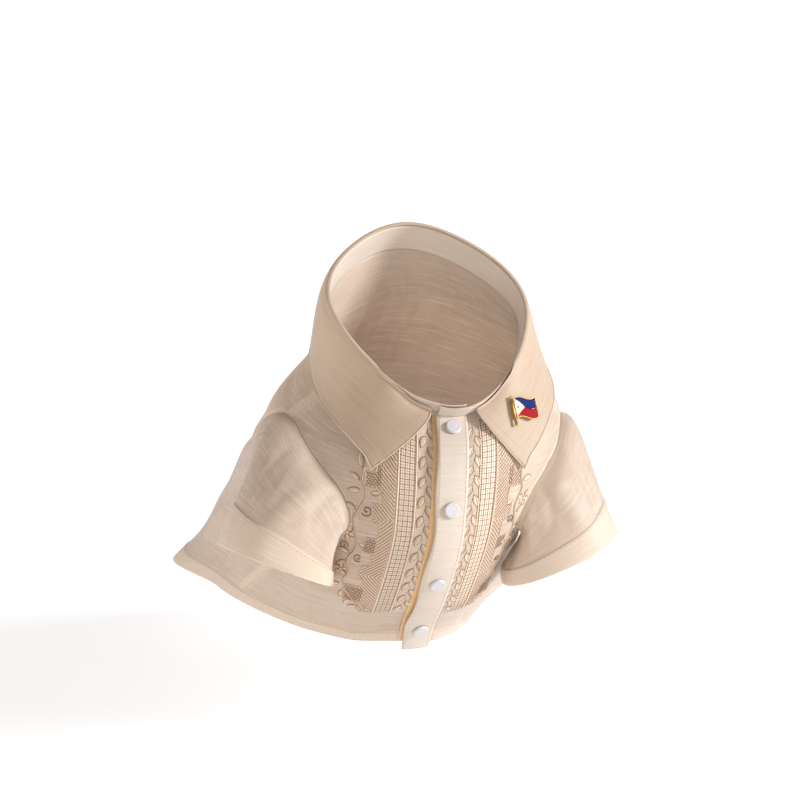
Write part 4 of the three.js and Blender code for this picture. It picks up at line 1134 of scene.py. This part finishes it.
def embroider(part):
    side, word = part["side"], part["word"]
    tan, brown, cream, shadedHalves, litHalves = [], [], [], [], []

    # each leaf gets a painted-shade half and a painted-light half
    def leaf(*shape):
        patches, edges = satinLeaf(side, *shape)
        shadedHalves.append(patches[0])
        litHalves.append(patches[1])
        brown.extend(edges)

    top, bottom = stitching["top"], stitching["bottom"]
    # leaf vine beside the button band: a dotted stem with leaves hanging to both sides in turn
    y = np.arange(top, bottom - 2, 1.7)
    stem = np.stack([part["vine"] + 0.9 * np.sin(2 * math.pi * y / stitching["vinePitch"]), y], -1)
    brown += stitchesOn(side, (stem, stem + [0.0, 0.95]), 0.36, 0.28, 0.06)
    for k in range(12):
        for way in (-1, 1):
            start = top + 2 + (k + (0.5 if way > 0 else 0)) * stitching["vinePitch"]
            if start < bottom - 11:
                leaf(part["vine"] + way * 0.8, start + 2.0, 90 - way * 22, stitching["leafLength"], stitching["leafWidth"], way * 24)
    # drawn-thread band: lines both ways over a pale ground, knotted where they cross, corded at both edges
    low, high = part["band"]
    y = np.linspace(top, bottom, 150)[:, None]
    x = np.linspace(low, high, 13)[None]
    points, up = onFront(side, x, y, 0.07)
    ground = [(points, np.stack(np.broadcast_arrays(x, y), -1), up[70, 6])]
    down = np.linspace(top, bottom, 160)
    for edge, way in ((low, 1), (high, -1)):
        cream.append(threadOn(side, np.stack([np.full(160, edge), down], -1), 0.9, 0.5))
        brown += stitchesOn(side, dashes([((edge - way * 0.75, top), (edge - way * 0.75, bottom))], 1.0, 0.7), 0.34, 0.28, 0.06)
        brown += stitchesOn(side, dashes([((edge + way * 0.7, top), (edge + way * 0.7, bottom))], 1.3, 0.5), 0.30, 0.26, 0.12)
    columns = np.linspace(low + 1.3, high - 1.3, round((high - low - 2.6) / stitching["cell"]) + 1)
    rows = np.arange(top + 1.5, bottom - 0.8, stitching["cell"])
    for x in columns:
        brown.append(threadOn(side, np.stack([np.full(160, x), down], -1), stitching["cellLine"], 0.26, 0.1))
    for x in (columns[1:] + columns[:-1]) / 2:
        tan.append(threadOn(side, np.stack([np.full(160, x), down], -1), 0.26, 0.18, 0.08))
    for lines, width, target in ((rows, stitching["cellLine"], brown), (rows[:-1] + stitching["cell"] / 2, 0.26, tan)):
        for y in lines:
            target.append(threadOn(side, np.stack([np.linspace(low + 0.7, high - 0.7, 12), np.full(12, y)], -1), width, 0.24, 0.11))
    crossings = np.stack([a.reshape(-1) for a in np.meshgrid(columns, rows)], -1)
    knot = stitching["cellBead"] / 2
    brown += stitchesOn(side, (crossings - [knot, 0], crossings + [knot, 0]), stitching["cellBead"], 0.4, 0.12)
    # the field: a light fill with slanting rows of running stitches that change way, and a cord along its stepped edge
    inner = part["field"]
    y = np.union1d(np.linspace(top, bottom - 1, 300), fieldRim[(fieldRim[:, 1] > top) & (fieldRim[:, 1] < bottom - 1), 1])[:, None]
    share = np.linspace(0, 1, 22)[None]
    points, up = onFront(side, inner + share * fieldEdge(y), y, 0.05)
    fill = [(points, np.stack(np.broadcast_arrays(inner + share * fieldEdge(y), y), -1), up[len(y) // 2, 8])]
    for way, first, last in ((-1, top, 76), (1, 76, 120), (-1, 120, bottom - 1)):
        for a, b in slantLines(inner, first, last, way, 0.0):
            brown.append(threadOn(side, along2([a, b], 1.2), stitching["hatchLine"], 0.28, 0.08))
        tan += stitchesOn(side, dashes(slantLines(inner, first, last, way, stitching["hatchPitch"] * 0.36), stitching["hatchStitch"], stitching["hatchGap"]), 0.34, 0.26, 0.08)
        cream += stitchesOn(side, dashes(slantLines(inner, first, last, way, stitching["hatchPitch"] * 0.68), stitching["hatchStitch"], stitching["hatchGap"], 0.8), 0.5, 0.28, 0.08)
    rim = fieldRim[(fieldRim[:, 1] > top) & (fieldRim[:, 1] < bottom - 1)]
    tan.append(threadOn(side, along2(rim + [inner, 0], 0.5), 0.75, 0.5, 0.08))
    foot = np.linspace(0, fieldEdge(bottom - 1), 20)
    tan.append(threadOn(side, np.stack([inner + foot, np.full(20, bottom - 1)], -1), 0.75, 0.5, 0.08))
    # small checked blocks on the steps that stand out
    for first, last in ((41, 55), (90.5, 101), (133, 147.5)):
        for y in np.arange(first + 1, last - 0.5, 1.7):
            brown.append(threadOn(side, np.stack([np.linspace(inner + 10.5, inner + fieldEdge(y) - 1.2, 8), np.full(8, y)], -1), 0.38, 0.3, 0.14))
        reach = min(fieldEdge(first + 2), fieldEdge(last - 2)) - 1.2
        for x in np.arange(10.5, reach, 1.7):
            brown.append(threadOn(side, np.stack([np.full(8, inner + x), np.linspace(first + 1, last - 1, 8)], -1), 0.38, 0.3, 0.14))
    # outer vine: stem, leaves, blossoms and curls
    stemLine = softLine([(inner + a, b) for a, b in part["stem"]])
    tan.append(threadOn(side, along2(stemLine), 1.25, 0.7, 0.08))
    brown.append(threadOn(side, along2(stemLine + [0.55, 0]), 0.5, 0.5, 0.14))
    for a, b, *shape in part["leaves"]:
        leaf(inner + a, b, *shape)
    for a, b, size, petals, start in part["blossoms"]:
        for k in range(petals):
            heading = start + 360 * k / petals
            leaf(inner + a + 0.9 * math.cos(math.radians(heading)), b + 0.9 * math.sin(math.radians(heading)), heading, size, size * 0.66)
        ring = np.linspace(0, 2 * math.pi, 14)
        cream.append(threadOn(side, np.stack([inner + a + 0.55 * np.cos(ring), b + 0.55 * np.sin(ring)], -1), 0.8, 0.6, 0.2))
    for a, b, size, start, way in part["curls"]:
        turnBy = np.linspace(0, 2.6 * math.pi, 60)
        reach = size * (1 - turnBy / (3.0 * math.pi))
        curl = np.stack([inner + a + reach * np.cos(start + way * turnBy), b + reach * np.sin(start + way * turnBy)], -1)
        brown.append(threadOn(side, curl, 0.8, 0.55, 0.1))
    made = [
        joinedPatches("bandGround" + word, ground, "paleThread"), joinedPatches("fieldFill" + word, fill, "fillThread"),
        joinedPatches("leafShadedHalf" + word, shadedHalves, "tanThread"), joinedPatches("leafLitHalf" + word, litHalves, "leafLitThread"),
        threadMesh("tanThreads" + word, tan, "tanThread"), threadMesh("brownThreads" + word, brown, "brownThread"), threadMesh("creamThreads" + word, cream, "creamThread"),
    ]
    print("embroidery", word, "made:", len(tan) + len(brown) + len(cream), "threads,", len(shadedHalves), "leaves")
    return made


# the outer vine, in mm out from the field's inner edge and down from the neck seam
sides[0].update(
    stem=[(22, 44), (23, 53), (20, 62), (24, 71), (28, 80), (25, 90), (23, 100), (27, 110), (24, 121), (26, 130), (20, 141), (12, 150), (4, 155)],
    leaves=[(24, 45, -75, 9.5, 4.2, 20), (25, 53, -30, 8.0, 3.6, 24), (24.5, 59, 10, 9.0, 3.8, -20), (17, 60, 190, 7.5, 3.2, 18), (27, 73, -20, 9.0, 3.8, 26), (30, 82, 30, 8.0, 3.6, -22),
            (22, 96, 165, 6.5, 3.0, -18), (27, 105, -15, 8.5, 3.6, 22), (28, 112, 35, 8.0, 3.6, -20), (25, 124, -10, 8.5, 3.8, 24), (28, 133, 20, 8.5, 3.8, -24), (24, 139, 80, 8.0, 3.4, 20),
            (17, 147, 60, 8.0, 3.4, 24), (11, 153, 20, 7.0, 3.2, -20), (6, 156, 150, 6.5, 3.0, 18)],
    blossoms=[(31, 90, 5.0, 5, 20), (30, 120, 4.6, 5, 50)],
    curls=[(19, 72, 4.0, 0.6, 1), (20, 107, 3.4, 2.2, -1), (32, 100, 3.4, 3.0, 1)],
)
sides[1].update(
    stem=[(22, 40), (21, 50), (24, 60), (20, 70), (23, 80), (26, 90), (23, 101), (26, 112), (22, 122), (24, 132), (18, 142), (10, 151), (3, 155)],
    leaves=[(23, 44, -60, 9.0, 4.0, -20), (24, 54, -10, 9.0, 3.8, 22), (22, 64, 25, 8.5, 3.6, -22), (17, 66, 170, 7.0, 3.2, 18), (25, 77, -25, 9.0, 3.8, 24), (27, 88, 15, 8.0, 3.6, -22),
            (21, 97, 185, 6.5, 3.0, 18), (26, 106, -20, 8.5, 3.6, 22), (26, 116, 30, 8.0, 3.6, -20), (24, 128, -10, 8.5, 3.8, 24), (24, 136, 40, 8.5, 3.8, -24), (15, 147, 70, 8.0, 3.4, 22),
            (8, 153, 25, 7.0, 3.2, -20)],
    blossoms=[(30, 68, 4.8, 5, 10), (30, 98, 4.6, 5, 40)],
    curls=[(18, 80, 3.6, 0.8, -1), (19, 112, 3.4, 2.4, 1)],
)
for part, front, flat, area in ((sides[0], frontRight, (0.1415, 0.319), 0.0188), (sides[1], frontLeft, (0.1475, 0.3415), 0.0197)):
    embroider(part)

# floor, light and camera
studio = {"floorZ": -0.285, "floor": (0.36, 0.36, 0.36), "floorGlow": 0.78, "horizon": 0.60, "zenith": 0.24, "azimuth": -20.0, "elevation": 12.0, "distance": 1.6, "mmPerPixel": 0.68, "neckPixel": (433, 319), "pixels": 794}


def plainMaterial(name, colour, rough):
    material, nodes, links = nodeMaterial(name)
    nodes["Principled BSDF"].inputs["Base Color"].default_value = (*colour, 1)
    nodes["Principled BSDF"].inputs["Roughness"].default_value = rough
    return material


bpy.ops.mesh.primitive_plane_add(size=60, location=(0, 0, studio["floorZ"]))
floor = bpy.context.object
floor.name = "floor"
floor.data.materials.append(plainMaterial("studioFloor", studio["floor"], 0.95))
floorShader = paints["studioFloor"].node_tree.nodes["Principled BSDF"]
floorShader.inputs["Emission Color"].default_value = (1.0, 0.985, 0.985, 1)   # a lit white sweep, so that shadows stay faint
floorShader.inputs["Emission Strength"].default_value = studio["floorGlow"]
floorShader.inputs["Specular IOR Level"].default_value = 0.0
floor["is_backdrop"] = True

world = bpy.data.worlds.new("studio")
bpy.context.scene.world = world
world.use_nodes = True
sky, skyLinks = world.node_tree.nodes, world.node_tree.links
skyWay = sky.new("ShaderNodeTexCoord")
skyHeight = sky.new("ShaderNodeSeparateXYZ")
skyLinks.new(skyWay.outputs["Generated"], skyHeight.inputs["Vector"])
skyFade = sky.new("ShaderNodeMapRange")   # pale walls under a dimmer ceiling
skyFade.inputs["From Min"].default_value, skyFade.inputs["From Max"].default_value = 0.05, 0.6
skyFade.inputs["To Min"].default_value, skyFade.inputs["To Max"].default_value = studio["horizon"], studio["zenith"]
skyLinks.new(skyHeight.outputs["Z"], skyFade.inputs["Value"])
skyLinks.new(skyFade.outputs["Result"], sky["Background"].inputs["Strength"])
sky["Background"].inputs["Color"].default_value = (1, 0.95, 0.90, 1)

lamps = [
    # name, the way to the light, strength, softness in degrees, colour
    ("keySun", (0.90, -0.42, 0.38), 4.3, 18, (0.97, 1.0, 1.03)),
    ("frontSun", (-0.38, -0.92, 0.04), 1.25, 34, (1.0, 0.965, 0.93)),
    ("sideSun", (-0.90, 0.50, 0.22), 1.3, 40, (1.0, 0.97, 0.94)),
]
for name, toLight, power, softness, colour in lamps:
    data = bpy.data.lights.new(name, "SUN")
    data.energy, data.angle, data.color = power, math.radians(softness), colour
    lamp = bpy.data.objects.new(name, data)
    lamp.rotation_mode = "QUATERNION"
    lamp.rotation_quaternion = Vector(toLight).to_track_quat("Z", "Y")
    bpy.context.scene.collection.objects.link(lamp)

a, e = math.radians(studio["azimuth"]), math.radians(studio["elevation"])
right = np.array([math.cos(a), math.sin(a), 0])
back3 = np.array([math.sin(a) * math.cos(e), -math.cos(a) * math.cos(e), math.sin(e)])
up3 = np.cross(back3, right)
offset = [(studio["pixels"] / 2 - studio["neckPixel"][0]) * studio["mmPerPixel"] * mm, -(studio["pixels"] / 2 - studio["neckPixel"][1]) * studio["mmPerPixel"] * mm]
eye = back3 * studio["distance"]
target = right * offset[0] + up3 * offset[1]
view = bpy.data.cameras.new("camera")
view.sensor_width = 36
view.lens = 36 * studio["distance"] / (studio["pixels"] * studio["mmPerPixel"] * mm)
camera = bpy.data.objects.new("camera", view)
camera.location = eye
camera.rotation_mode = "QUATERNION"
camera.rotation_quaternion = Vector(target - eye).to_track_quat("-Z", "Y")
bpy.context.scene.collection.objects.link(camera)
bpy.context.scene.camera = camera
bpy.context.scene.view_settings.view_transform = "Standard"

bpy.context.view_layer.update()
triangles = {o.name: sum(len(p.vertices) - 2 for p in o.evaluated_get(bpy.context.evaluated_depsgraph_get()).data.polygons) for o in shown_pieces() if o.type == "MESH"}
print("triangles:", sum(triangles.values()), "most:", sorted(triangles.items(), key=lambda x: -x[1])[:6])
